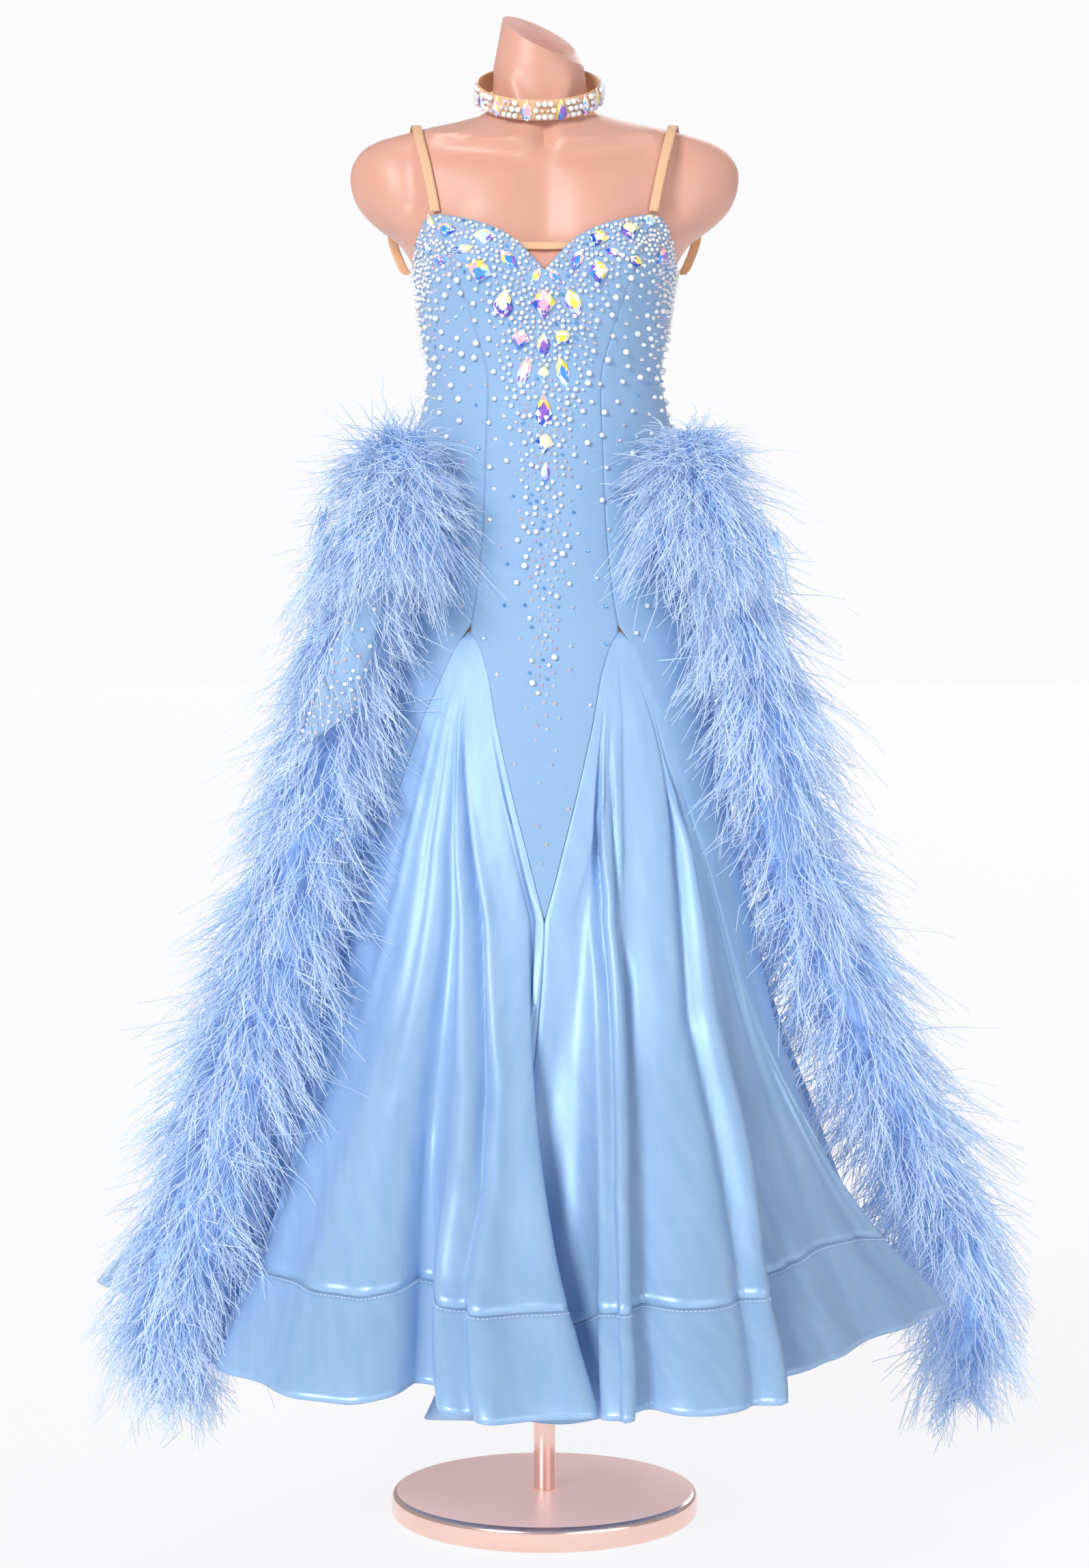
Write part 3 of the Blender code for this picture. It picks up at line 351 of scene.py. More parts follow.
def close_ends(mesh):
    """Fill the open ends of a tube."""
    work = bmesh.new()
    work.from_mesh(mesh)
    bmesh.ops.holes_fill(work, edges=[edge for edge in work.edges if edge.is_boundary], sides=0)
    work.to_mesh(mesh)
    work.free()
    return mesh


def triangle_count(mesh):
    return sum(len(face.vertices) - 2 for face in mesh.polygons)


def add_piece(name, mesh, finish, *nodes, slot=None):
    """An object for a finished mesh, riding on the one body and standing for its solids."""
    piece = bpy.data.objects.new(name, mesh)
    bpy.context.scene.collection.objects.link(piece)
    if finish is not None:
        mesh.materials.append(finish)
    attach(piece, "root")
    if nodes:
        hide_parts(*nodes)
    return piece


def cloth_piece(name, grid, finish, thick, node, slot, closed=False, lining=None):
    """A cloth piece from its grid; the flat size that the grid measures is kept in SHEETS."""
    mesh = grid_mesh(name, grid, closed)
    piece = add_piece(name, mesh, finish, node, slot=slot)
    wall = piece.modifiers.new("cloth_thickness", "SOLIDIFY")
    wall.thickness = thick
    wall.offset = -1.0
    if lining is not None:
        mesh.materials.append(lining)
        wall.material_offset = 1
        wall.material_offset_rim = 1
    area = sum(face.area for face in mesh.polygons)
    across = np.linalg.norm(np.diff(grid, axis=1), axis=-1).sum(axis=1).max()
    if closed:
        across += np.linalg.norm(grid[:, 0] - grid[:, -1], axis=-1).max()
    down = np.linalg.norm(np.diff(grid, axis=0), axis=-1).sum(axis=0).max()
    width, length = float(max(across, LEAST_FLAT)), float(max(down, LEAST_FLAT))
    SHEETS[name] = (round(width, 3), round(length, 3), round(area, 4))
    return piece


# %% [markdown]
# ## Finishes of the cloth
# The panels are matte stretch crepe with a fine slanting grain; the godets and the hem band are satin,
# whose long floating threads give broad soft highlights; horsehair braid shows inside the hem as a grid.
# Each finish is built from the cloth's own metres, so the threads are the same size everywhere.

# %% Building blocks for materials
def new_finish(name, colour, roughness, **constants):
    """A Principled material whose constants are set on the shader's own sockets."""
    made = plain_material(name, colour, roughness)
    shader = made.node_tree.nodes["Principled BSDF"]
    for socket, value in constants.items():
        shader.inputs[socket.replace("_", " ")].default_value = value
    return made, made.node_tree, shader


def add_node(tree, kind, settings=(), **values):
    made = tree.nodes.new(kind)
    for name, value in dict(settings).items():
        setattr(made, name, value)
    for name, value in values.items():
        made.inputs[name.replace("_", " ")].default_value = value
    return made


def colour_ramp(tree, fac, stops):
    """A ramp node through (place, colour) stops, fed by fac."""
    ramp = tree.nodes.new("ShaderNodeValToRGB")
    while len(ramp.color_ramp.elements) > 1:
        ramp.color_ramp.elements.remove(ramp.color_ramp.elements[0])
    ramp.color_ramp.elements[0].position = stops[0][0]
    ramp.color_ramp.elements[0].color = (*stops[0][1], 1.0)
    for place, colour in stops[1:]:
        ramp.color_ramp.elements.new(place).color = (*colour, 1.0)
    tree.links.new(fac, ramp.inputs["Fac"])
    return ramp.outputs["Color"]


def math_node(tree, operation, *values):
    made = add_node(tree, "ShaderNodeMath", {"operation": operation})
    for slot_number, value in enumerate(values):
        if isinstance(value, (int, float)):
            made.inputs[slot_number].default_value = value
        else:
            tree.links.new(value, made.inputs[slot_number])
    return made.outputs[0]


def own_place(tree):
    """Where a point lies in the piece's own metres."""
    return add_node(tree, "ShaderNodeTexCoord").outputs["Object"]


def paint(tree, shader, fac, stops):
    """Colour a finish through a ramp."""
    tree.links.new(colour_ramp(tree, fac, stops), shader.inputs["Base Color"])


def add_bump(tree, shader, heights, distances, strengths):
    """Chain bump nodes, one for each height signal, into the shader's normal."""
    normal = None
    for height, distance, strength in zip(heights, distances, strengths):
        bump = add_node(tree, "ShaderNodeBump", Distance=distance, Strength=strength)
        tree.links.new(height, bump.inputs["Height"])
        if normal is not None:
            tree.links.new(normal, bump.inputs["Normal"])
        normal = bump.outputs["Normal"]
    tree.links.new(normal, shader.inputs["Normal"])


def uv_pattern(tree, turn=0.0, scale=(1.0, 1.0, 1.0)):
    """The piece's own metres, turned about the cloth's normal."""
    uv = add_node(tree, "ShaderNodeUVMap", {"uv_map": "cloth_metres"})
    mapping = add_node(tree, "ShaderNodeMapping", Rotation=(0.0, 0.0, turn), Scale=scale)
    tree.links.new(uv.outputs["UV"], mapping.inputs["Vector"])
    return mapping.outputs["Vector"]


def wave(tree, vector, scale, distortion=0.0, detail_scale=1.0):
    made = add_node(tree, "ShaderNodeTexWave", {"bands_direction": "X"}, Scale=scale,
                    Distortion=distortion, Detail=1.0, Detail_Scale=detail_scale)
    tree.links.new(vector, made.inputs["Vector"])
    return made.outputs["Fac"]


def noise(tree, vector, scale, detail=2.0):
    made = add_node(tree, "ShaderNodeTexNoise", Scale=scale, Detail=detail, Roughness=0.5)
    tree.links.new(vector, made.inputs["Vector"])
    return made.outputs["Fac"]


# %% Crepe, satin and horsehair
CREPE_BLUE = (0.252, 0.412, 0.650)
CREPE_PALE = (0.288, 0.450, 0.695)
SATIN_BLUE = (0.285, 0.465, 0.730)
SATIN_PALE = (0.340, 0.520, 0.780)
WRONG_SIDE_BLUE, WRONG_SIDE_PALE = (0.22, 0.38, 0.64), (0.25, 0.42, 0.68)
GLOSS_HEIGHTS, TIP_ROUGHNESS = (0.32, 0.95), 0.60     # between the band's top and the godets' tips


def make_crepe(name, dark, pale):
    made, tree, shader = new_finish(name, dark, 0.78, Sheen_Weight=0.35, Sheen_Roughness=0.5,
                                    Specular_IOR_Level=0.25)
    grain = wave(tree, uv_pattern(tree, radians(58)), 210.0, 0.6, 3.0)
    cross = wave(tree, uv_pattern(tree, radians(-32)), 260.0, 0.4, 3.0)
    cloud = noise(tree, uv_pattern(tree), 34.0, 3.0)
    blend = add_node(tree, "ShaderNodeMix", {"data_type": "FLOAT"}, Factor=0.45)
    tree.links.new(grain, blend.inputs[2])
    tree.links.new(cloud, blend.inputs[3])
    paint(tree, shader, blend.outputs[0], [(0.15, dark), (0.85, pale)])
    add_bump(tree, shader, [grain, cross], [0.00016, 0.00012], [0.55, 0.4])
    return made


def make_satin(name, dark, pale, mean_roughness, hem_roughness):
    """Satin is glossier at the hem and softer up by the godets' tips; a viewer that leaves the nodes
    out shows the mean."""
    made, tree, shader = new_finish(name, dark, mean_roughness, Metallic=0.20, Specular_IOR_Level=0.50,
                                    Sheen_Weight=0.10, Anisotropic=0.35)
    threads = wave(tree, uv_pattern(tree), 420.0, 0.3, 2.0)
    cloud = noise(tree, uv_pattern(tree, 0.0, (1.0, 0.25, 1.0)), 60.0, 3.0)
    paint(tree, shader, cloud, [(0.3, dark), (0.7, pale)])
    level = add_node(tree, "ShaderNodeSeparateXYZ")
    tree.links.new(own_place(tree), level.inputs[0])
    gloss = add_node(tree, "ShaderNodeMapRange", From_Min=GLOSS_HEIGHTS[0], From_Max=GLOSS_HEIGHTS[1],
                     To_Min=hem_roughness, To_Max=TIP_ROUGHNESS)
    tree.links.new(level.outputs["Z"], gloss.inputs["Value"])
    tree.links.new(gloss.outputs["Result"], shader.inputs["Roughness"])
    add_bump(tree, shader, [threads, cloud], [0.00005, 0.0006], [0.35, 0.25])
    return made


def make_horsehair(name):
    """Crossed nylon threads of the stiff braid inside the hem, seen against the satin."""
    made, tree, shader = new_finish(name, SATIN_BLUE, 0.5, Specular_IOR_Level=0.6)
    one = wave(tree, uv_pattern(tree, radians(45)), 190.0)
    other = wave(tree, uv_pattern(tree, radians(-45)), 190.0)
    lighter = math_node(tree, "MAXIMUM", one, other)
    paint(tree, shader, lighter, [(0.55, (0.17, 0.32, 0.62)), (0.9, (0.46, 0.62, 0.86))])
    add_bump(tree, shader, [lighter], [0.0006], [0.8])
    return made


crepe = make_crepe("crepe_blue", CREPE_BLUE, CREPE_PALE)
satin = make_satin("satin_blue", SATIN_BLUE, SATIN_PALE, 0.43, 0.33)
satin_inside = make_satin("satin_wrong_side", WRONG_SIDE_BLUE, WRONG_SIDE_PALE, 0.50, 0.40)
horsehair = make_horsehair("horsehair_braid")
print("cloth finishes:", [m.name for m in (crepe, satin, satin_inside, horsehair)])

# %% [markdown]
# ## The crepe panels
# Six panels run from the neckline to points between the godets. A panel is a grid between two seam lines:
# its rows are level up to the waist and then lean over to follow the neckline.

# %% Panels between two seam lines
PANEL_COLUMNS, SKIRT_ROWS, BODICE_ROWS = 26, 44, 26
SEAM_DIP, SEAM_WIDTH = 0.0006, 0.0026


def panel_grid(low_edge, high_edge, point):
    """Points of a panel. Each edge is (line, edge, side, whole turns added)."""
    even = np.linspace(0.0, 1.0, PANEL_COLUMNS + 1)
    share = 0.35 * even + 0.65 * (0.5 - 0.5 * np.cos(pi * even))

    def angles(z):
        low, high = [seam_angle(line, edge, side, z) + turn
                     for line, edge, side, turn in (low_edge, high_edge)]
        return low + (high - low) * share

    heights = point + 0.0005 + (WAIST_HEIGHT - point) * np.linspace(0.0, 1.0, SKIRT_ROWS + 1)
    rows = [gown_point(angles(np.full(share.shape, z)), z) for z in heights]
    for step in np.linspace(0.0, 1.0, BODICE_ROWS + 1)[1:]:
        z = np.full(share.shape, heights[-1])
        for _ in range(5):
            angle = angles(z)
            z = heights[-1] + (top_edge_height(angle) - heights[-1]) * step
        rows.append(gown_point(angle, z))
    grid = np.array(rows)
    across, _ = grid_distances(grid)
    to_seam = np.minimum(across - across[:, :1], across[:, -1:] - across)
    above_tips = smooth_step(TIP_HEIGHT - 0.02, TIP_HEIGHT + 0.02, grid[..., 2])
    dip = -SEAM_DIP * np.exp(-(to_seam / SEAM_WIDTH) ** 2) * above_tips
    return grid + level_normals(grid) * dip[..., None]


# each row: the solid it stands for, its low and high edges as panel_grid takes them, its point's height
PANELS = {
    "centre_front_panel": (
        "panel_centre_front", ("front", "in", -1, 0), ("front", "in", 1, 0), CENTRE_POINT),
    "side_front_panel_right": (
        "panel_side_front_right", ("front", "out", 1, 0), ("side", "in", 1, 0), SIDE_POINT),
    "side_back_panel_right": (
        "panel_side_back_right", ("side", "out", 1, 0), ("back", "in", 1, 0), SIDE_POINT),
    "centre_back_panel": (
        "panel_centre_back", ("back", "out", 1, 0), ("back", "out", -1, 360), CENTRE_POINT),
    "side_back_panel_left": (
        "panel_side_back_left", ("back", "in", -1, 0), ("side", "out", -1, 0), SIDE_POINT),
    "side_front_panel_left": (
        "panel_side_front_left", ("side", "in", -1, 0), ("front", "out", -1, 0), SIDE_POINT),
}
panel_grids = {}
for name, (node, low_edge, high_edge, point) in PANELS.items():
    panel_grids[name] = panel_grid(low_edge, high_edge, point)
    cloth_piece(name, panel_grids[name], crepe, CREPE_THICK, node, "crepe")
    print(name, "flat", SHEETS[name])

# %% [markdown]
# ## The satin godets
# A godet is a fan of satin let into a seam. It is smooth where it is sewn in and its hem swings in and out.
# Each column of the grid falls from its place on the smooth figure to its place on the hem; the fold tables
# say where that is. Creases and soft flutes run down to the hem, and near the band the satin puffs a
# little over the stitched seam.

# %% Columns and points of a godet
def godet_columns(godet, count):
    """Where the columns of a godet's cloth lie: place, share, hem x, hem y, bottom, start."""
    folds = FOLDS[godet]
    turn, radius = np.radians(column(folds, "angle")), column(folds, "radius")
    hem = np.stack([radius * np.sin(turn), -radius * np.cos(turn)], axis=-1)
    gaps = np.linalg.norm(np.diff(hem, axis=0), axis=-1)
    places = np.concatenate([[0.0], np.cumsum(gaps ** 0.75)])
    spots = np.linspace(0.0, places[-1], count + 1)
    tables = [column(folds, "share"), hem[:, 0], hem[:, 1], column(folds, "bottom"), column(folds, "start")]
    return [spots / places[-1]] + [smooth_value(places, values, spots) for values in tables]


def godet_angle(godet, share, z):
    line, side = GODETS[godet]
    edges = ("in", "out") if side > 0 else ("out", "in")
    low, high = [seam_angle(line, edge, side, np.minimum(z, GODET_TIP)) for edge in edges]
    return low + (high - low) * share


def godet_points(godet, columns, z):
    """Points of a godet's cloth at heights z, one for each column."""
    _, share, hem_x, hem_y, bottom, start = columns
    smooth = gown_point(godet_angle(godet, share, z), z)
    low = gown_point(godet_angle(godet, share, bottom), bottom)
    fallen = np.clip((start - z) / (start - bottom), 0.0, None)
    reach = np.hypot(smooth[..., 0], smooth[..., 1])
    reach = reach + (np.hypot(hem_x, hem_y) - np.hypot(low[..., 0], low[..., 1])) * fallen ** GROWTH_OUT
    swing = np.arctan2(hem_x, -hem_y) - np.arctan2(low[..., 0], -low[..., 1])
    swing = (swing + pi) % (2 * pi) - pi
    turn = np.arctan2(smooth[..., 0], -smooth[..., 1]) + swing * fallen ** GROWTH_ROUND
    return np.stack([reach * np.sin(turn), -reach * np.cos(turn), z], axis=-1)


# %% Creases and puffs laid over the folds
# A crease is a line of (place, height) points down the godet, where place is 0 at its first seam and 1 at
# its last; width is in the same units and depth is outwards for a ridge and negative for a trough.
Crease = namedtuple("Crease", "line width depth")
LEFT_PLEAT = [(0.50, 0.91), (0.575, 0.74), (0.609, 0.60), (0.638, 0.50), (0.628, 0.41), (0.587, 0.32)]
RIGHT_VALLEY = [(0.10, 0.90), (0.225, 0.68), (0.237, 0.60), (0.231, 0.40), (0.240, 0.32)]
RIGHT_TUBE = [(0.20, 0.88), (0.282, 0.695), (0.311, 0.60), (0.298, 0.45), (0.288, 0.32)]
RIGHT_PLEAT = [(0.52, 0.89), (0.430, 0.72), (0.404, 0.56), (0.423, 0.456), (0.442, 0.34)]


def beside(line, step):
    return [(place + step, z) for place, z in line]


CREASES = {
    "front_left": [
        Crease(LEFT_PLEAT, 0.014, -0.0160), Crease(beside(LEFT_PLEAT, -0.040), 0.022, 0.0080),
        Crease(beside(LEFT_PLEAT, 0.034), 0.018, 0.0030),
        Crease([(0.22, 0.90), (0.24, 0.72), (0.20, 0.52)], 0.030, 0.0040),
        Crease([(0.36, 0.92), (0.36, 0.70), (0.34, 0.50)], 0.026, -0.0040),
        Crease([(0.10, 0.62), (0.13, 0.48), (0.12, 0.33)], 0.018, -0.0050),
        Crease([(0.80, 0.88), (0.84, 0.66), (0.80, 0.46), (0.78, 0.34)], 0.020, -0.0060),
        Crease([(0.30, 0.42), (0.33, 0.33)], 0.022, -0.0030),
        Crease([(0.48, 0.46), (0.50, 0.33)], 0.020, -0.0036),
    ],
    "front_right": [
        Crease(RIGHT_VALLEY, 0.013, -0.0125), Crease(beside(RIGHT_VALLEY, 0.030), 0.014, 0.0060),
        Crease(RIGHT_TUBE, 0.010, -0.0090),
        Crease(RIGHT_PLEAT, 0.013, -0.0140), Crease(beside(RIGHT_PLEAT, 0.036), 0.020, 0.0070),
        Crease([(0.58, 0.88), (0.56, 0.66), (0.57, 0.44)], 0.028, -0.0044),
        Crease([(0.70, 0.80), (0.71, 0.58), (0.70, 0.36)], 0.024, -0.0040),
        Crease([(0.52, 0.43), (0.56, 0.32)], 0.013, -0.0042),
        Crease([(0.58, 0.41), (0.61, 0.32)], 0.012, -0.0040),
        Crease([(0.80, 0.52), (0.84, 0.33)], 0.022, 0.0046),
        Crease([(0.88, 0.46), (0.93, 0.34)], 0.018, -0.0044),
    ],
    "side_right": [
        Crease([(0.30, 0.82), (0.34, 0.55), (0.30, 0.33)], 0.034, -0.0070),
        Crease([(0.62, 0.86), (0.60, 0.60), (0.66, 0.33)], 0.030, -0.0080),
        Crease([(0.80, 0.60), (0.83, 0.33)], 0.028, 0.0050),
    ],
    "back_right": [
        Crease([(0.22, 0.84), (0.24, 0.56), (0.20, 0.33)], 0.030, -0.0080),
        Crease([(0.46, 0.90), (0.50, 0.60), (0.47, 0.34)], 0.034, 0.0060),
        Crease([(0.58, 0.86), (0.62, 0.60), (0.60, 0.33)], 0.022, -0.0070),
        Crease([(0.84, 0.66), (0.82, 0.33)], 0.026, -0.0060),
    ],
    "back_left": [
        Crease([(0.18, 0.80), (0.16, 0.54), (0.20, 0.33)], 0.026, -0.0070),
        Crease([(0.38, 0.90), (0.36, 0.62), (0.40, 0.34)], 0.030, 0.0060),
        Crease([(0.52, 0.88), (0.50, 0.60), (0.54, 0.33)], 0.024, -0.0080),
        Crease([(0.78, 0.74), (0.80, 0.52), (0.76, 0.33)], 0.030, -0.0060),
    ],
    "side_left": [
        Crease([(0.24, 0.76), (0.22, 0.52), (0.26, 0.34)], 0.030, -0.0070),
        Crease([(0.46, 0.86), (0.44, 0.62), (0.48, 0.36)], 0.028, -0.0080),
        Crease([(0.66, 0.78), (0.68, 0.52), (0.66, 0.34)], 0.026, 0.0050),
    ],
}
CREASE_REACHES_HEM = 0.345     # creases that end lower than this run on over the band
SEAM_INSET, SEAM_SHARE = 0.0012, 0.012
HEM_FLUTES = {"front_right": 8, "side_right": 3, "back_right": 4, "back_left": 5, "side_left": 5,
              "front_left": 7}
FLUTE_DEPTH = 0.0052
PUFF_HEIGHT, PUFF_DEPTH = 0.012, 0.0018


def crease_depth(godet, place, z):
    """Depth of all creases; those that end below CREASE_REACHES_HEM run on down to the hem."""
    depth = np.zeros(z.shape)
    for row in CREASES[godet]:
        places, heights = np.array(row.line[::-1]).T
        t = np.clip((heights[-1] - z) / (heights[-1] - heights[0]), 0.0, 1.0)
        inside = smooth_step(0.0, 0.22, t)
        if heights[0] > CREASE_REACHES_HEM:
            inside = inside * (1.0 - smooth_step(0.80, 1.0, t))
        depth += row.depth * inside * np.exp(-((place - np.interp(z, heights, places)) / row.width) ** 2)
    return depth * (1.0 - 0.85 * smooth_step(0.70, 0.90, z))


def hem_flutes(godet, place, z):
    """Soft flutes of the stiffened hem, dying away above it and at the seams."""
    phase = 1.3 * len(godet)
    turns = 2 * pi * HEM_FLUTES[godet] * place
    flute = np.sin(turns + phase + 0.9 * np.sin(5.0 * place)) + 0.5 * np.sin(0.57 * turns + 2.1 * phase)
    seams = np.clip(9.0 * place, 0.0, 1.0) * np.clip(9.0 * (1.0 - place), 0.0, 1.0)
    return FLUTE_DEPTH * flute * seams * (1.0 - smooth_step(0.18, 0.56, z))


def puff_depth(place, above, phase):
    """The satin's roll over the top of the band, uneven along the seam."""
    uneven = 0.55 + 0.3 * np.sin(41.0 * place + phase) + 0.25 * np.sin(97.0 * place + 2.0 * phase)
    roll = np.exp(-((above - PUFF_HEIGHT) / (0.7 * PUFF_HEIGHT)) ** 2) - 0.25 * np.exp(-(above / 0.0035) ** 2)
    return PUFF_DEPTH * np.clip(uneven, 0.15, None) * roll


def godet_grid(godet, count, rows):
    """Points of a godet's cloth from the band up to its tip, and its columns."""
    columns = godet_columns(godet, count)
    place, bottom = columns[0], columns[4]
    fall = np.linspace(0.0, 1.0, rows + 1)[:, None]
    foot = bottom + BAND_HEIGHT
    z = foot + (GODET_TIP - foot) * fall
    grid = np.array([godet_points(godet, columns, row) for row in z])
    place = np.broadcast_to(place, z.shape)
    depth = crease_depth(godet, place, z) + hem_flutes(godet, place, z)
    depth = depth + puff_depth(place, z - foot, 1.7 * len(godet))
    at_seams = np.exp(-(place / SEAM_SHARE) ** 2) + np.exp(-((1.0 - place) / SEAM_SHARE) ** 2)
    return grid + level_normals(grid) * (depth - SEAM_INSET * at_seams)[..., None], columns


def band_grid(godet, columns):
    """Points of the hem band under a godet, bellied a little and rippled under its top seam."""
    rise = np.linspace(0.0, 1.0, BAND_ROWS + 1)[:, None]
    z = columns[4] + BAND_HEIGHT * rise
    grid = np.array([godet_points(godet, columns, row) for row in z])
    place = np.broadcast_to(columns[0], z.shape)
    belly = 0.0016 * np.sin(pi * rise) ** 0.7 + crease_depth(godet, place, z) + hem_flutes(godet, place, z)
    ripple = 0.0008 * np.sin(60.0 * place + 9.0 * rise) * np.exp(-((rise - 0.85) / 0.12) ** 2)
    return grid + level_normals(grid) * (belly + ripple)[..., None]


# %% Godets and their hem bands
FINE, COARSE = (156, 66), (84, 46)
GODET_SIZES = {"front_right": FINE, "front_left": FINE, "side_left": COARSE, "side_right": COARSE,
               "back_right": COARSE, "back_left": COARSE}
BAND_ROWS = 14
band_grids = {}
for godet, (count, rows) in GODET_SIZES.items():
    grid, columns = godet_grid(godet, count, rows)
    name = "satin_godet_" + godet
    cloth_piece(name, grid, satin, SATIN_THICK, "godet_" + godet, "satin",
                lining=satin_inside)
    band_grids[godet] = band_grid(godet, columns)
    cloth_piece("hem_band_piece_" + godet, band_grids[godet], satin, BAND_THICK, "hem_band_" + godet,
                "satin", lining=horsehair)
    print(name, SHEETS[name], "band", SHEETS["hem_band_piece_" + godet])

# %% [markdown]
# ## The dress form and its stand
# The form is a smooth limbless torso, so it is lofted through rings whose outline goes from an ellipse at
# the waist to a squarer one at the shoulders. The base, flange and pole are turned metal, each a profile
# spun round the pole's axis.

# %% The form's rings
FormRing = namedtuple("FormRing", "z centre half_width front back roundness")
FORM_RINGS = [
    FormRing(0.895, 0.000, 0.148, 0.096, 0.104, 2.00),
    FormRing(0.907, 0.000, 0.162, 0.110, 0.118, 2.00),
    FormRing(0.953, 0.000, 0.1675, 0.1165, 0.1265, 2.00),
    FormRing(1.050, 0.000, 0.1595, 0.1105, 0.1245, 2.00),
    FormRing(1.130, 0.000, 0.1415, 0.0995, 0.1055, 2.00),
    FormRing(1.215, 0.000, 0.1208, 0.0878, 0.0798, 2.00),
    FormRing(1.270, 0.000, 0.1268, 0.0955, 0.0788, 2.00),
    FormRing(1.333, 0.000, 0.1372, 0.1050, 0.0828, 2.00),
    FormRing(1.348, 0.000, 0.1440, 0.1020, 0.0840, 1.95),
    FormRing(1.364, 0.000, 0.1560, 0.0980, 0.0860, 1.85),
    FormRing(1.380, 0.000, 0.1780, 0.0950, 0.0880, 1.74),
    FormRing(1.400, 0.000, 0.1970, 0.0915, 0.0900, 1.70),
    FormRing(1.428, 0.000, 0.2060, 0.0850, 0.0890, 1.70),
    FormRing(1.452, 0.000, 0.2010, 0.0770, 0.0850, 1.70),
    FormRing(1.470, -0.001, 0.1800, 0.0680, 0.0790, 1.70),
    FormRing(1.481, -0.001, 0.1400, 0.0605, 0.0730, 1.78),
    FormRing(1.490, -0.002, 0.0960, 0.0530, 0.0660, 1.84),
    FormRing(1.499, -0.003, 0.0630, 0.0480, 0.0580, 1.90),
    FormRing(1.512, -0.004, 0.0535, 0.0460, 0.0515, 2.00),
    FormRing(1.530, -0.005, 0.0495, 0.0450, 0.0480, 2.00),
    FormRing(1.550, -0.006, 0.0480, 0.0450, 0.0450, 2.00),
]
NECK_CUT = dict(z=1.5835, centre=-0.006, half_width=0.0385, front=0.042, back=0.042,
                fall_sideways=-0.45, rise_back=0.43)

# soft ridges and hollows on the front: from (x, z) to (x, z), half thickness, height
Relief = namedtuple("Relief", "x z x_end z_end reach rise")
RELIEFS = [
    Relief(0.018, 1.464, 0.118, 1.474, 0.0085, 0.0062), Relief(0.030, 1.447, 0.112, 1.455, 0.012, -0.0060),
    Relief(0.000, 1.462, 0.000, 1.470, 0.013, -0.0110), Relief(0.000, 1.365, 0.000, 1.425, 0.022, -0.0100),
    Relief(0.156, 1.456, 0.150, 1.400, 0.013, -0.0100), Relief(0.010, 1.474, 0.030, 1.530, 0.008, 0.0045),
    Relief(0.066, 1.398, 0.074, 1.372, 0.036, 0.0060),
]


def anatomy(x, z):
    """Collar bones, the notch between them, the hollow of the chest and the fold of each arm."""
    rise = np.zeros(np.broadcast(x, z).shape)
    for row in RELIEFS:
        along = np.array((row.x_end - row.x, row.z_end - row.z))
        t = np.clip(((x - row.x) * along[0] + (z - row.z) * along[1]) / (along @ along), 0.0, 1.0)
        away = np.hypot(x - row.x - t * along[0], z - row.z - t * along[1])
        rise = rise + row.rise * np.exp(-(away / row.reach) ** 2)
    return rise


def form_point(angle, z):
    heights = column(FORM_RINGS, "z")
    centre, half_width, front, back, power = [
        smooth_value(heights, column(FORM_RINGS, name), z)
        for name in ("centre", "half_width", "front", "back", "roundness")]
    side, ahead = np.sin(np.radians(angle)), np.cos(np.radians(angle))
    out = cup(angle, z, CUP_DEPTH - 0.0015) + anatomy(np.abs(half_width * side), z) * (ahead > 0)
    stretch = (np.abs(side) ** power + np.abs(ahead) ** power) ** (-1.0 / power)
    depth = np.where(ahead > 0, front, back)
    return np.stack([centre + (half_width + out) * side * stretch, -(depth + out) * ahead * stretch,
                     np.broadcast_to(z, np.shape(angle))], axis=-1)


# %% The torso with its slanting neck cut
FORM_SIDES, FORM_ROWS, NECK_ROWS = 132, 110, 10
form_finish, tree, shader = new_finish("rose_form_cover", (0.66, 0.345, 0.265), 0.42, Sheen_Weight=0.25,
                                       Sheen_Roughness=0.4, Specular_IOR_Level=0.4,
                                       Coat_Weight=0.08, Coat_Roughness=0.35)
where = own_place(tree)
paint(tree, shader, noise(tree, where, 9.0, 3.0),
      [(0.3, (0.64, 0.33, 0.25)), (0.7, (0.69, 0.36, 0.28))])
add_bump(tree, shader, [noise(tree, where, 900.0, 2.0)], [0.0001], [0.15])
neck_finish, tree, shader = new_finish("neck_cut_cover", (0.62, 0.28, 0.22), 0.5)
where = own_place(tree)
paint(tree, shader, noise(tree, where, 30.0), [(0.3, (0.58, 0.25, 0.2)), (0.7, (0.66, 0.31, 0.25))])


def neck_cut_ring(angles):
    """The edge of the flat slanting cut at the top of the neck."""
    side, ahead = np.sin(np.radians(angles)), np.cos(np.radians(angles))
    x = NECK_CUT["half_width"] * side
    y = -np.where(ahead > 0, NECK_CUT["front"], NECK_CUT["back"]) * ahead
    z = NECK_CUT["z"] + NECK_CUT["fall_sideways"] * x + NECK_CUT["rise_back"] * y
    return np.stack([NECK_CUT["centre"] + x, y, z], axis=-1)


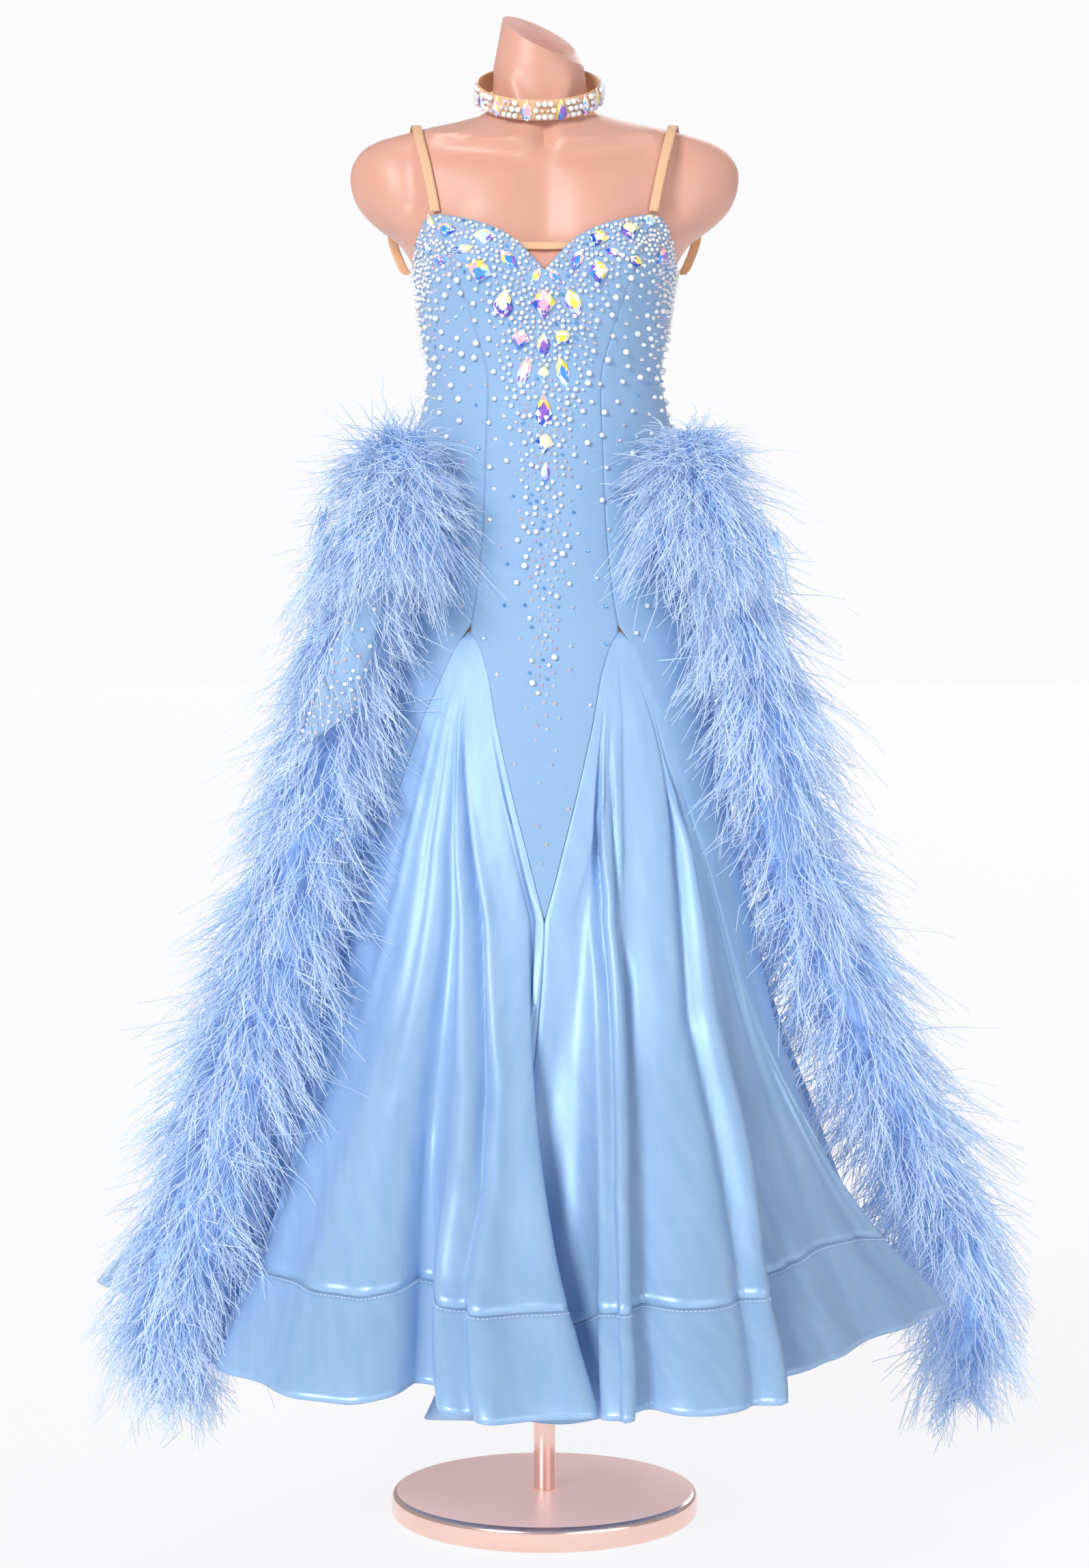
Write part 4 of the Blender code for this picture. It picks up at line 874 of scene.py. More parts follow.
def make_form():
    angles = np.arange(FORM_SIDES) * 360.0 / FORM_SIDES
    heights = np.linspace(FORM_RINGS[0].z, FORM_RINGS[-1].z, FORM_ROWS + 1)
    rings = [form_point(angles, np.full(FORM_SIDES, z)) for z in heights]
    below = rings[-1]
    for t in np.linspace(0.0, 1.0, NECK_ROWS + 1)[1:]:
        rings.append(below + (neck_cut_ring(angles) - below) * t)
    rings.insert(0, rings[0] * (0.5, 0.5, 1.0))
    mesh = close_ends(grid_mesh("dress_form_torso", np.array(rings), closed=True))
    piece = add_piece("dress_form_torso", mesh, form_finish, "dress_form", slot="form")
    mesh.materials.append(neck_finish)
    top = max(mesh.polygons, key=lambda face: (len(face.vertices) > 4) * face.center.z)
    top.material_index = 1
    mesh.set_sharp_from_angle(angle=radians(40))
    return piece


form = make_form()
print("form triangles", triangle_count(form.data))

# %% Turned metal: base, pole and flange
ROSE_GOLD = (0.93, 0.63, 0.55)
TURNED_SIDES = 96
metal, tree, shader = new_finish("rose_gold_plate", ROSE_GOLD, 0.10, Metallic=0.86)
where = own_place(tree)
smear = noise(tree, where, 14.0, 4.0)
rough = add_node(tree, "ShaderNodeMapRange")
rough.inputs["To Min"].default_value = 0.13
rough.inputs["To Max"].default_value = 0.22
tree.links.new(smear, rough.inputs["Value"])
facing = add_node(tree, "ShaderNodeSeparateXYZ")
tree.links.new(add_node(tree, "ShaderNodeNewGeometry").outputs["Normal"], facing.inputs[0])
flat_top = add_node(tree, "ShaderNodeMath", {"operation": "GREATER_THAN"})
flat_top.inputs[1].default_value = 0.97
tree.links.new(facing.outputs["Z"], flat_top.inputs[0])
dulled = add_node(tree, "ShaderNodeMath", {"operation": "MULTIPLY_ADD"})
dulled.inputs[1].default_value = 0.20
tree.links.new(flat_top.outputs[0], dulled.inputs[0])
tree.links.new(rough.outputs["Result"], dulled.inputs[2])
tree.links.new(dulled.outputs[0], shader.inputs["Roughness"])
shown_metal = add_node(tree, "ShaderNodeMath", {"operation": "MULTIPLY_ADD"})
shown_metal.inputs[1].default_value = -0.60
shown_metal.inputs[2].default_value = 0.90
tree.links.new(flat_top.outputs[0], shown_metal.inputs[0])
tree.links.new(shown_metal.outputs[0], shader.inputs["Metallic"])
# Painted glow: the flat top of the base gives off a pale rose light of its own, so that it looks lit in the
# skirt's shade.
painted_top_glow = add_node(tree, "ShaderNodeMath", {"operation": "MULTIPLY"})
painted_top_glow.inputs[1].default_value = 0.30
tree.links.new(flat_top.outputs[0], painted_top_glow.inputs[0])
tree.links.new(painted_top_glow.outputs[0], shader.inputs["Emission Strength"])
shader.inputs["Emission Color"].default_value = (1.0, 0.58, 0.46, 1.0)
tree.links.new(colour_ramp(tree, smear, [(0.3, (0.94, 0.64, 0.56)), (0.7, (0.97, 0.69, 0.61))]),
               shader.inputs["Base Color"])


def turned(name, profile, node, slot):
    """Spin a profile of (radius, height), run upwards, into a closed solid of metal."""
    turn = np.arange(TURNED_SIDES) * 2 * pi / TURNED_SIDES
    rings = np.array([[(r * sin(t), -r * cos(t), z) for t in turn] for r, z in profile])
    mesh = grid_mesh(name, rings, closed=True)
    work = bmesh.new()
    work.from_mesh(mesh)
    bmesh.ops.remove_doubles(work, verts=work.verts, dist=1e-6)
    work.to_mesh(mesh)
    work.free()
    mesh.shade_smooth()
    mesh.set_sharp_from_angle(angle=radians(50))
    return add_piece(name, mesh, metal, node, slot=slot)


def rounded_disc(radius, low, high, edge):
    """Profile of a disc whose top and bottom edges are quarter rounds."""
    steps = np.linspace(0.0, pi / 2, 9)
    profile = [(1e-7, low), (radius * 0.6, low)]
    profile += [(radius - edge + edge * sin(a), low + edge - edge * cos(a)) for a in steps]
    profile += [(radius - edge + edge * cos(a), high - edge + edge * sin(a)) for a in steps]
    return profile + [(radius * 0.6, high), (1e-7, high)]


base_low, base_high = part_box("stand_base")
pole_low, pole_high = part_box("stand_pole")
flange_low, flange_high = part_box("stand_flange")
turned("round_base", rounded_disc(base_high.x, base_low.z, base_high.z, 0.007), "stand_base", "rose_gold")
turned("centre_pole", rounded_disc(pole_high.x, pole_low.z, pole_high.z, 0.0008), "stand_pole", "rose_gold")
turned("pole_flange", rounded_disc(flange_high.x, flange_low.z, flange_high.z, 0.0015), "stand_flange",
       "rose_gold")
print("base radius", round(base_high.x, 4), "pole radius", round(pole_high.x, 4))

# %% [markdown]
# ## Straps, neckline strip, choker and gauntlets
# The straps and the strip across the V are woven nude elastic. The choker is a band of the same elastic,
# and each gauntlet is a flattened tapered mitt of blue mesh whose lower end is cut to a point.

# %% Their routes and sizes
STRAP_WIDTH = 0.010
Strap = namedtuple("Strap", "x y z")
STRAP_ROUTE = [
    Strap(0.1135, -0.0775, 1.3885), Strap(0.1175, -0.0720, 1.410), Strap(0.1240, -0.0630, 1.440),
    Strap(0.1300, -0.0505, 1.464), Strap(0.1340, -0.0330, 1.4800), Strap(0.1365, -0.0050, 1.4866),
    Strap(0.1400, 0.0260, 1.4820), Strap(0.1465, 0.0450, 1.470), Strap(0.1560, 0.0555, 1.440),
    Strap(0.1630, 0.0560, 1.405), Strap(0.1640, 0.0500, 1.375), Strap(0.1535, 0.0360, 1.345),
    Strap(0.1465, 0.0290, 1.3350),
]
CHOKER = dict(centre=(-0.006, -0.008, 1.5225), half_width=0.0650, half_depth=0.0710,
              height=0.022, tilt=24.0)
STRIP = dict(z=1.3505, half_span=13.0, height=0.008, behind=0.0050)

Oval = namedtuple("Oval", "z x y half_width half_depth")
GAUNTLET = [
    Oval(1.020, 0.172, -0.146, 0.0150, 0.0085), Oval(0.960, 0.189, -0.138, 0.0185, 0.0085),
    Oval(0.905, 0.207, -0.136, 0.0215, 0.0085), Oval(0.868, 0.219, -0.137, 0.0235, 0.0085),
]
GAUNTLET_BEHIND, GAUNTLET_OUT = 0.138, 0.021   # the right gauntlet hangs behind its float
GAUNTLET_POINT = 0.036      # how far the mitt's point hangs below its last ring
GAUNTLET_ROWS, GAUNTLET_SIDES = 44, 32
CUFF = dict(centre=(0.150, -0.106, 1.114), radii=(0.062, 0.050, 0.076))
FLOAT_LEFT = [
    Oval(1.014, -0.186, -0.092, 0.040, 0.028), Oval(0.950, -0.206, -0.076, 0.048, 0.034),
    Oval(0.870, -0.222, -0.078, 0.050, 0.036), Oval(0.800, -0.232, -0.088, 0.050, 0.036),
    Oval(0.720, -0.252, -0.102, 0.052, 0.038), Oval(0.600, -0.287, -0.130, 0.055, 0.040),
    Oval(0.470, -0.322, -0.172, 0.056, 0.040), Oval(0.350, -0.358, -0.222, 0.056, 0.038),
    Oval(0.270, -0.372, -0.252, 0.052, 0.034), Oval(0.210, -0.368, -0.262, 0.042, 0.028),
    Oval(0.180, -0.362, -0.262, 0.022, 0.016),
]
FLOAT_RIGHT = [
    Oval(1.014, 0.190, -0.088, 0.040, 0.030), Oval(0.950, 0.214, -0.060, 0.046, 0.034),
    Oval(0.870, 0.232, -0.050, 0.050, 0.036), Oval(0.800, 0.244, -0.042, 0.052, 0.038),
    Oval(0.720, 0.262, -0.030, 0.052, 0.040), Oval(0.600, 0.310, -0.008, 0.055, 0.042),
    Oval(0.470, 0.368, 0.022, 0.056, 0.042), Oval(0.340, 0.430, 0.055, 0.056, 0.042),
    Oval(0.250, 0.460, 0.078, 0.054, 0.040), Oval(0.170, 0.466, 0.086, 0.048, 0.034),
    Oval(0.105, 0.458, 0.084, 0.030, 0.022),
]
STRAP_ROWS, STRAP_COLUMNS = 73, 5
CHOKER_SIDES, CHOKER_ROWS = 96, 7


def oval_at(ovals, z):
    """Middle and half sizes of a tube of ovals at height z."""
    heights = column(ovals, "z")[::-1]
    return [smooth_value(heights, column(ovals, name)[::-1], z)
            for name in ("x", "y", "half_width", "half_depth")]


# %% Elastic and its pieces
ELASTIC_NUDE, ELASTIC_DEEP = (0.80, 0.50, 0.30), (0.70, 0.40, 0.22)
elastic, tree, shader = new_finish("nude_elastic", ELASTIC_NUDE, 0.62, Sheen_Weight=0.2)
ribs = wave(tree, uv_pattern(tree), 300.0)
picks = wave(tree, uv_pattern(tree, pi / 2), 420.0)
paint(tree, shader, ribs, [(0.1, ELASTIC_DEEP), (0.6, ELASTIC_NUDE)])
add_bump(tree, shader, [ribs, picks], [0.0002, 0.0001], [0.5, 0.5])


def strap_grid(side):
    """Points across and along a strap's outer face."""
    places = np.arange(len(STRAP_ROUTE), dtype=float)
    spots = np.linspace(0.0, places[-1], STRAP_ROWS)
    route = np.stack([smooth_value(places, column(STRAP_ROUTE, axis), spots) for axis in "xyz"], axis=-1)
    along = np.gradient(route, axis=0)
    along /= np.linalg.norm(along, axis=-1, keepdims=True)
    out = np.stack([np.zeros(len(route)), -along[:, 2], along[:, 1]], axis=-1)
    out /= np.linalg.norm(out, axis=-1, keepdims=True)
    widths = np.linspace(-STRAP_WIDTH / 2, STRAP_WIDTH / 2, STRAP_COLUMNS)
    grid = route[:, None, :] + widths[None, :, None] * np.array((1.0, 0.0, 0.0))
    grid = grid + out[:, None, :] * ELASTIC_THICK
    if side < 0:
        grid = grid[:, ::-1] * (-1.0, 1.0, 1.0)
    return grid


for name, side in (("strap_right", 1), ("strap_left", -1)):
    cloth_piece("elastic_" + name, strap_grid(side), elastic, ELASTIC_THICK, name, "elastic")

strip_low = STRIP["z"] - STRIP["height"] / 2
strip_z = np.linspace(strip_low, strip_low + STRIP["height"], 5)[:, None]
strip_angles = np.linspace(-STRIP["half_span"], STRIP["half_span"], 33)[None, :]
cloth_piece("elastic_neckline_strip", gown_point(strip_angles, strip_z, -STRIP["behind"]), elastic,
            ELASTIC_THICK, "neckline_strip", "elastic")


def choker_points(turn, height, out=0.0):
    """Points on the choker: turn in radians from the front, height along its own tilted axis."""
    tilt, middle = radians(CHOKER["tilt"]), CHOKER["centre"]
    turn, height = np.broadcast_arrays(turn, height)
    x = (CHOKER["half_width"] + out) * np.sin(turn)
    y = -(CHOKER["half_depth"] + out) * np.cos(turn)
    return np.stack([middle[0] + x, middle[1] + y * cos(tilt) - height * sin(tilt),
                     middle[2] + y * sin(tilt) + height * cos(tilt)], axis=-1)


choker_turns = np.arange(CHOKER_SIDES)[None, :] * 2 * pi / CHOKER_SIDES
choker_rows = np.linspace(-CHOKER["height"] / 2, CHOKER["height"] / 2, CHOKER_ROWS)[:, None]
cloth_piece("choker_elastic", choker_points(choker_turns, choker_rows), elastic, ELASTIC_THICK, "choker_band",
            "stones", closed=True)
print({name: SHEETS[name] for name in SHEETS if "elastic" in name})


# %% Gauntlets
def gauntlet_grid(side, back, out):
    heights = column(GAUNTLET, "z")[::-1]
    turn = np.arange(GAUNTLET_SIDES) * 2 * pi / GAUNTLET_SIDES
    grid = []
    for z in np.linspace(heights[0], heights[-1], GAUNTLET_ROWS + 1):
        x, y, wide, deep = oval_at(GAUNTLET, z)
        fade = np.clip(1.0 - (z - heights[0]) / 0.05, 0.0, 1.0)
        drop = GAUNTLET_POINT * (0.5 + 0.5 * np.sin(turn)) * fade
        pinch = 1.0 + 0.06 * np.sin(z * 210.0 + np.sin(turn) * 2.0)
        ring = np.stack([x + out + wide * np.sin(turn) + drop * 0.32, y + back - deep * pinch * np.cos(turn),
                         z - drop], axis=-1)
        grid.append(ring * (side, 1.0, 1.0))
    grid = np.array(grid)
    return grid[:, ::-1] if side < 0 else grid


mitt = make_crepe("gauntlet_mesh", (0.26, 0.42, 0.65), (0.32, 0.48, 0.72))
gauntlet_grids = {}
for name, side, back, out in (("gauntlet_left", -1, 0.0, 0.0),
                              ("gauntlet_right", 1, GAUNTLET_BEHIND, GAUNTLET_OUT)):
    gauntlet_grids[name] = gauntlet_grid(side, back, out)
    cloth_piece("mitt_" + name, gauntlet_grids[name], mitt, CREPE_THICK, name, "gauntlet",
                closed=True)
    print(name, SHEETS["mitt_" + name])

# %% [markdown]
# ## Feather floats and cuffs
# A float is a boa: a cord with ostrich plumes bound to it, whose soft barbs sweep down and outwards. The
# cuffs are the same plumes bound in a ring, so their barbs spray every way and curl. Thousands of barbs
# would be slow to place by hand, so points carry where each one is rooted, which way it grows and how it
# curls, and a node tree grows a thin three-sided spike on each point and bends it.

# %% A node tree that grows barbs on points
def new_tree(name, sizes):
    """A Geometry Nodes tree with a geometry in and out and named inputs for its sizes."""
    tree = bpy.data.node_groups.new(name, "GeometryNodeTree")
    tree.interface.new_socket("Geometry", in_out="INPUT", socket_type="NodeSocketGeometry")
    for label, kind, value in sizes:
        socket = tree.interface.new_socket(label, in_out="INPUT", socket_type=kind)
        if value is not None:
            socket.default_value = value
    tree.interface.new_socket("Geometry", in_out="OUTPUT", socket_type="NodeSocketGeometry")
    return tree, tree.nodes.new("NodeGroupInput"), tree.nodes.new("NodeGroupOutput")


def point_value(tree, name, kind="FLOAT"):
    made = add_node(tree, "GeometryNodeInputNamedAttribute", {"data_type": kind})
    made.inputs["Name"].default_value = name
    return made.outputs["Attribute"]


def vector_node(tree, operation, first, second):
    made = add_node(tree, "ShaderNodeVectorMath", {"operation": operation})
    tree.links.new(first, made.inputs[0])
    tree.links.new(second, made.inputs["Scale" if operation == "SCALE" else 1])
    return made.outputs["Vector"]


def finish_tree(tree, geometry, group_out, finish):
    """Realize the instances, set their material and hand them out."""
    real = add_node(tree, "GeometryNodeRealizeInstances")
    painted = add_node(tree, "GeometryNodeSetMaterial")
    painted.inputs["Material"].default_value = finish
    tree.links.new(geometry, real.inputs["Geometry"])
    tree.links.new(real.outputs["Geometry"], painted.inputs["Geometry"])
    tree.links.new(painted.outputs["Geometry"], group_out.inputs[0])
    return real, painted


def barb_tree(finish):
    """Points with way, reach, curl and tone in; curved three-sided barbs out."""
    tree, group_in, group_out = new_tree("grow_barbs", [
        ("Barb width", "NodeSocketFloat", 0.0009), ("Segments", "NodeSocketInt", 4),
        ("Droop power", "NodeSocketFloat", 1.7), ("Wave size", "NodeSocketFloat", 0.002)])
    spike = add_node(tree, "GeometryNodeMeshCone", Vertices=3, Radius_Top=0.38, Radius_Bottom=1.0, Depth=1.0)
    tree.links.new(group_in.outputs["Segments"], spike.inputs["Side Segments"])
    along = add_node(tree, "GeometryNodeStoreNamedAttribute", {"data_type": "FLOAT", "domain": "POINT"})
    along.inputs["Name"].default_value = "along"
    place = add_node(tree, "GeometryNodeInputPosition")
    split = add_node(tree, "ShaderNodeSeparateXYZ")
    tree.links.new(place.outputs["Position"], split.inputs["Vector"])
    tree.links.new(spike.outputs["Mesh"], along.inputs["Geometry"])
    tree.links.new(split.outputs["Z"], along.inputs["Value"])
    aim = add_node(tree, "FunctionNodeAlignRotationToVector", {"axis": "Z"})
    tree.links.new(point_value(tree, "way", "FLOAT_VECTOR"), aim.inputs["Vector"])
    size = add_node(tree, "ShaderNodeCombineXYZ")
    tree.links.new(group_in.outputs["Barb width"], size.inputs["X"])
    tree.links.new(group_in.outputs["Barb width"], size.inputs["Y"])
    tree.links.new(point_value(tree, "reach"), size.inputs["Z"])
    grow = add_node(tree, "GeometryNodeInstanceOnPoints")
    tree.links.new(group_in.outputs["Geometry"], grow.inputs["Points"])
    tree.links.new(along.outputs["Geometry"], grow.inputs["Instance"])
    tree.links.new(aim.outputs["Rotation"], grow.inputs["Rotation"])
    tree.links.new(size.outputs["Vector"], grow.inputs["Scale"])
    real, painted = finish_tree(tree, grow.outputs["Instances"], group_out, finish)
    bent = add_node(tree, "GeometryNodeSetPosition")
    share = point_value(tree, "along")
    power = math_node(tree, "POWER", share, group_in.outputs["Droop power"])
    droop = vector_node(tree, "SCALE", point_value(tree, "curl", "FLOAT_VECTOR"), power)
    swing = math_node(tree, "SINE", math_node(tree, "MULTIPLY_ADD", share, 9.0, math_node(
        tree, "MULTIPLY", point_value(tree, "tone"), 40.0)))
    swing = math_node(tree, "MULTIPLY", swing, share)
    swing = math_node(tree, "MULTIPLY", swing, group_in.outputs["Wave size"])
    side = vector_node(tree, "SCALE", point_value(tree, "side", "FLOAT_VECTOR"), swing)
    tree.links.new(vector_node(tree, "ADD", droop, side), bent.inputs["Offset"])
    tree.links.new(real.outputs["Geometry"], bent.inputs["Geometry"])
    smooth = add_node(tree, "GeometryNodeSetShadeSmooth")
    tree.links.new(bent.outputs["Geometry"], smooth.inputs["Geometry"])
    tree.links.new(smooth.outputs["Geometry"], painted.inputs["Geometry"])
    return tree


def socket_id(tree, label):
    return next(item.identifier for item in tree.interface.items_tree
                if item.name == label and item.in_out == "INPUT")


def made_mesh(name, points, tree, sizes, vectors=None, numbers=None, edges=()):
    """Run a tree on points with attributes and keep the result as a plain mesh."""
    seeds = bpy.data.meshes.new(name + "_points")
    seeds.from_pydata(np.asarray(points).tolist(), list(edges), [])
    for label, values in (vectors or {}).items():
        seeds.attributes.new(label, "FLOAT_VECTOR", "POINT").data.foreach_set(
            "vector", np.asarray(values, np.float32).ravel())
    for label, values in (numbers or {}).items():
        layer = seeds.attributes.new(label, "FLOAT", "POINT")
        layer.data.foreach_set("value", np.asarray(values, np.float32))
    holder = bpy.data.objects.new(name + "_points", seeds)
    bpy.context.scene.collection.objects.link(holder)
    grown = holder.modifiers.new("grow", "NODES")
    grown.node_group = tree
    for label, value in sizes.items():
        grown[socket_id(tree, label)] = value
    mesh = bpy.data.meshes.new_from_object(holder.evaluated_get(bpy.context.evaluated_depsgraph_get()))
    mesh.name = name
    bpy.data.objects.remove(holder)
    return mesh


# %% The plumes' colour
# The root colour is darkened as painted shade, deep in the plume where shade falls.
FEATHER_SHADED_ROOT, FEATHER_MID, FEATHER_TIP = (0.34, 0.54, 0.90), (0.53, 0.70, 0.94), (0.80, 0.89, 1.00)
# Painted glow: the barbs give off a faint blue light of their own, standing in for daylight passing through
# them.
FEATHER_PAINTED_GLOW = (0.44, 0.62, 1.00)   # daylight that has passed through the barbs
feather, tree, shader = new_finish("ostrich_barbs", FEATHER_MID, 0.8, Specular_IOR_Level=0.06)
# Painted glow: a faint emission in that colour lifts the barbs' shade.
shader.inputs["Emission Color"].default_value = (*FEATHER_PAINTED_GLOW, 1.0)
shader.inputs["Emission Strength"].default_value = 0.11
along_barb = add_node(tree, "ShaderNodeAttribute", {"attribute_name": "along"})
barb_tone = add_node(tree, "ShaderNodeAttribute", {"attribute_name": "tone"})
shade = math_node(tree, "MULTIPLY", barb_tone.outputs["Fac"], 0.45)
blend = math_node(tree, "MULTIPLY_ADD", along_barb.outputs["Fac"], 0.55, shade)
# Painted shade: each barb runs from the darker root blue to a pale tip, mixed with the barb's own random
# tone.
paint(tree, shader, blend, [(0.10, FEATHER_SHADED_ROOT), (0.5, FEATHER_MID), (0.92, FEATHER_TIP)])
core_finish, tree, shader = new_finish("plume_core", FEATHER_SHADED_ROOT, 0.9, Sheen_Weight=0.4)
fluff = noise(tree, own_place(tree), 260.0, 4.0)
paint(tree, shader, fluff, [(0.3, (0.40, 0.56, 0.90)), (0.7, (0.56, 0.71, 0.97))])
add_bump(tree, shader, [fluff], [0.004], [0.9])
grow_barbs = barb_tree(feather)

# %% Float plumes
FLOAT_LOCKS, LOCK_BARBS, FLOAT_STRAYS = 480, 11, 2050
FLOAT_CORE, BARB_WIDTH = 0.56, 0.00088
FLOAT_LIMITS = {"float_feathers_left": 0.450, "float_feathers_right": 0.528}   # how far out tips may reach
DOWN = np.array((0.0, 0.0, -1.0))
rng = np.random.default_rng(82)


def unit(vectors):
    return vectors / np.maximum(np.linalg.norm(vectors, axis=-1, keepdims=True), 1e-9)


def core_mesh(name, route, rings=60, sides=16):
    """The bound middle of a boa, a lumpy tube that the barbs grow from."""
    turn = np.arange(sides) * 2 * pi / sides
    heights = np.linspace(column(route, "z").min(), column(route, "z").max(), rings)
    grid = []
    for k, z in enumerate(heights):
        x, y, wide, deep = oval_at(route, z)
        close = FLOAT_CORE * max(0.05, sin(pi * min(1.0, (k + 0.2) / 4, (rings - k - 0.8) / 4) / 2))
        lump = close * (1.0 + 0.12 * np.sin(3 * turn + 90 * z) + 0.1 * np.sin(5 * turn - 140 * z))
        grid.append(np.stack([x + wide * lump * np.sin(turn), y - deep * lump * np.cos(turn),
                              np.full(sides, z)], axis=-1))
    return close_ends(grid_mesh(name, np.array(grid), closed=True))


def grow_locks(name, root, way, reach, curl, strays, segments, waviness, limit=0.50):
    """Turn lock guides into barbs: each lock's barbs start apart and draw together at the tip. The
    last guides, strays in number, stay single barbs."""
    locks = len(root) - strays
    owner = np.concatenate([np.repeat(np.arange(locks), LOCK_BARBS), np.arange(locks, len(root))])
    count = len(owner)
    single = owner >= locks
    apart = rng.normal(0.0, 0.0042, (count, 3)) * np.where(single, 0.3, 1.0)[:, None]
    lock_tone = rng.uniform(0.0, 1.0, len(root))[owner]
    tone = np.clip(0.55 * lock_tone + 0.45 * rng.uniform(0.0, 1.0, count) + 0.25 * single, 0.0, 1.0)
    barb_way = unit(way[owner] + rng.normal(0.0, 0.09, (count, 3)))
    barb_curl = curl[owner] - 0.7 * apart + rng.normal(0.0, 0.0045, (count, 3))
    barb_reach = reach[owner] * rng.uniform(0.62, 1.0, count)
    start = root[owner] + apart
    tip = start + barb_way * barb_reach[:, None] + barb_curl
    past = (np.abs(tip[:, 0]) - limit) / np.maximum(np.abs(tip[:, 0] - start[:, 0]), 1e-4)
    barb_reach = barb_reach * (1.0 - np.clip(past, 0.0, 0.6))
    across = unit(np.cross(barb_way, np.array((0.1, 0.2, 1.0))))
    return made_mesh(name, start, grow_barbs,
                     {"Barb width": BARB_WIDTH, "Segments": segments, "Wave size": waviness},
                     {"way": barb_way, "curl": barb_curl, "side": across},
                     {"reach": barb_reach, "tone": tone})


def float_barbs(name, route, limit):
    """Locks down the boa that stand out from the cord, then fall over in arcs."""
    low, high = column(route, "z").min(), column(route, "z").max()
    count = FLOAT_LOCKS + FLOAT_STRAYS
    z = rng.uniform(low + 0.006, high + 0.055, count)
    turn = rng.uniform(0.0, 2 * pi, count)
    x, y, wide, deep = oval_at(route, z)
    spin = np.stack([np.sin(turn), -np.cos(turn), np.zeros(count)], axis=-1)
    root = np.stack([x, y, z], axis=-1) + spin * np.stack([wide, deep, wide], axis=-1) * FLOAT_CORE * 0.8
    x2, y2, _, _ = oval_at(route, np.clip(z - 0.05, low, high))
    fall = unit(np.stack([x2 - x, y2 - y, np.full(count, -0.05)], axis=-1))
    outward = rng.uniform(0.45, 1.9, (count, 1))
    stray = np.arange(count) >= FLOAT_LOCKS
    way = unit(fall * np.where(stray, 0.4, 1.0)[:, None] + spin * outward + rng.normal(0.0, 0.28, (count, 3)))
    near_foot = smooth_step(0.0, 0.10, z - low)
    reach = rng.uniform(0.060, 0.112, count) * (0.50 + 0.50 * near_foot) * (wide / 0.052)
    reach = reach * np.where(stray, 1.14, 1.0) * (1.0 - 0.30 * smooth_step(0.60, 0.15, z))
    sag = rng.uniform(0.012, 0.062, (count, 1)) * (0.4 + 0.6 * near_foot)[:, None]
    curl = DOWN * sag + rng.normal(0.0, 0.014, (count, 3))
    return grow_locks(name, root, way, reach, curl, FLOAT_STRAYS, 4, 0.010, limit)


def plume_piece(name, core, barbs, node):
    """One piece from the barbs and their core."""
    count = len(barbs.polygons)
    work = bmesh.new()
    work.from_mesh(barbs)
    work.from_mesh(core)
    work.faces.ensure_lookup_table()
    for face in work.faces[count:]:
        face.material_index = 1
    work.to_mesh(barbs)
    work.free()
    barbs.materials.append(core_finish)
    piece = add_piece(name, barbs, None, node, slot="feather")
    print(name, "triangles", triangle_count(barbs))
    return piece


for name, route in (("float_feathers_left", FLOAT_LEFT), ("float_feathers_right", FLOAT_RIGHT)):
    core = core_mesh(name + "_core", route)
    plume_piece("plumes_" + name, core, float_barbs(name + "_barbs", route, FLOAT_LIMITS[name]), name)

# %% Cuff plumes
CUFF_LOCKS, CUFF_STRAYS, CUFF_HANGING = 140, 700, 52


def cuff_mesh(name, side):
    """Curled locks that spring from a ring of bound plumes and fall over like a fountain."""
    middle = np.array(CUFF["centre"]) * (side, 1.0, 1.0)
    radii = np.array(CUFF["radii"])
    count = CUFF_LOCKS + CUFF_STRAYS
    ball = unit(rng.normal(0.0, 1.0, (count, 3)) * (1.0, 1.0, 0.9))
    root = middle + ball * radii * 0.50
    stray = (np.arange(count) >= CUFF_LOCKS)[:, None]
    way = unit(ball + rng.normal(0.0, 0.38, (count, 3)) + (0.0, 0.0, 0.30))
    behind = np.clip(ball[:, 1], 0.0, 1.0)
    below = np.clip(-ball[:, 2], 0.0, 1.0)
    reach = rng.uniform(0.040, 0.088, count) * (1.0 - 0.45 * behind) * (1.0 + 0.45 * below)
    inner = np.clip(-side * ball[:, 0], 0.0, 1.0)
    reach = reach * np.where(stray[:, 0], 1.25, 0.92) * (1.0 - 0.35 * inner)
    across = unit(np.cross(way, np.array((0.15, 0.3, 1.0))))
    curl = across * rng.normal(0.0, 0.026, (count, 1)) + DOWN * rng.uniform(0.020, 0.070, (count, 1))
    scattered = rng.normal(0.0, 1.0, (CUFF_HANGING, 3)) * (0.020, 0.006, 0.010)
    low = middle + (0.024 * side, -0.040, -0.052) + scattered
    down = unit(np.array((0.25 * side, -0.22, -1.0)) + rng.normal(0.0, 0.22, (CUFF_HANGING, 3)))
    root, way = np.concatenate([low, root]), np.concatenate([down, way])
    reach = np.concatenate([rng.uniform(0.055, 0.100, CUFF_HANGING), reach])
    curl = np.concatenate([rng.normal(0.0, 0.012, (CUFF_HANGING, 3)), curl])
    barbs = grow_locks(name + "_barbs", root, way, reach, curl, CUFF_STRAYS, 5, 0.008)
    turn = np.arange(20) * 2 * pi / 20
    grid = []
    for tilt in np.linspace(-1.35, 1.35, 12):
        lump = 0.48 * (1.0 + 0.12 * np.sin(4 * turn + 7 * tilt))
        grid.append(middle + np.stack([radii[0] * cos(tilt) * np.sin(turn) * lump,
                                       -radii[1] * cos(tilt) * np.cos(turn) * lump,
                                       np.full(20, radii[2] * 0.48 * sin(tilt))], axis=-1))
    return close_ends(grid_mesh(name + "_core", np.array(grid), closed=True)), barbs


for name, side in (("cuff_feathers_left", -1), ("cuff_feathers_right", 1)):
    core, barbs = cuff_mesh(name, side)
    plume_piece("plumes_" + name, core, barbs, name)

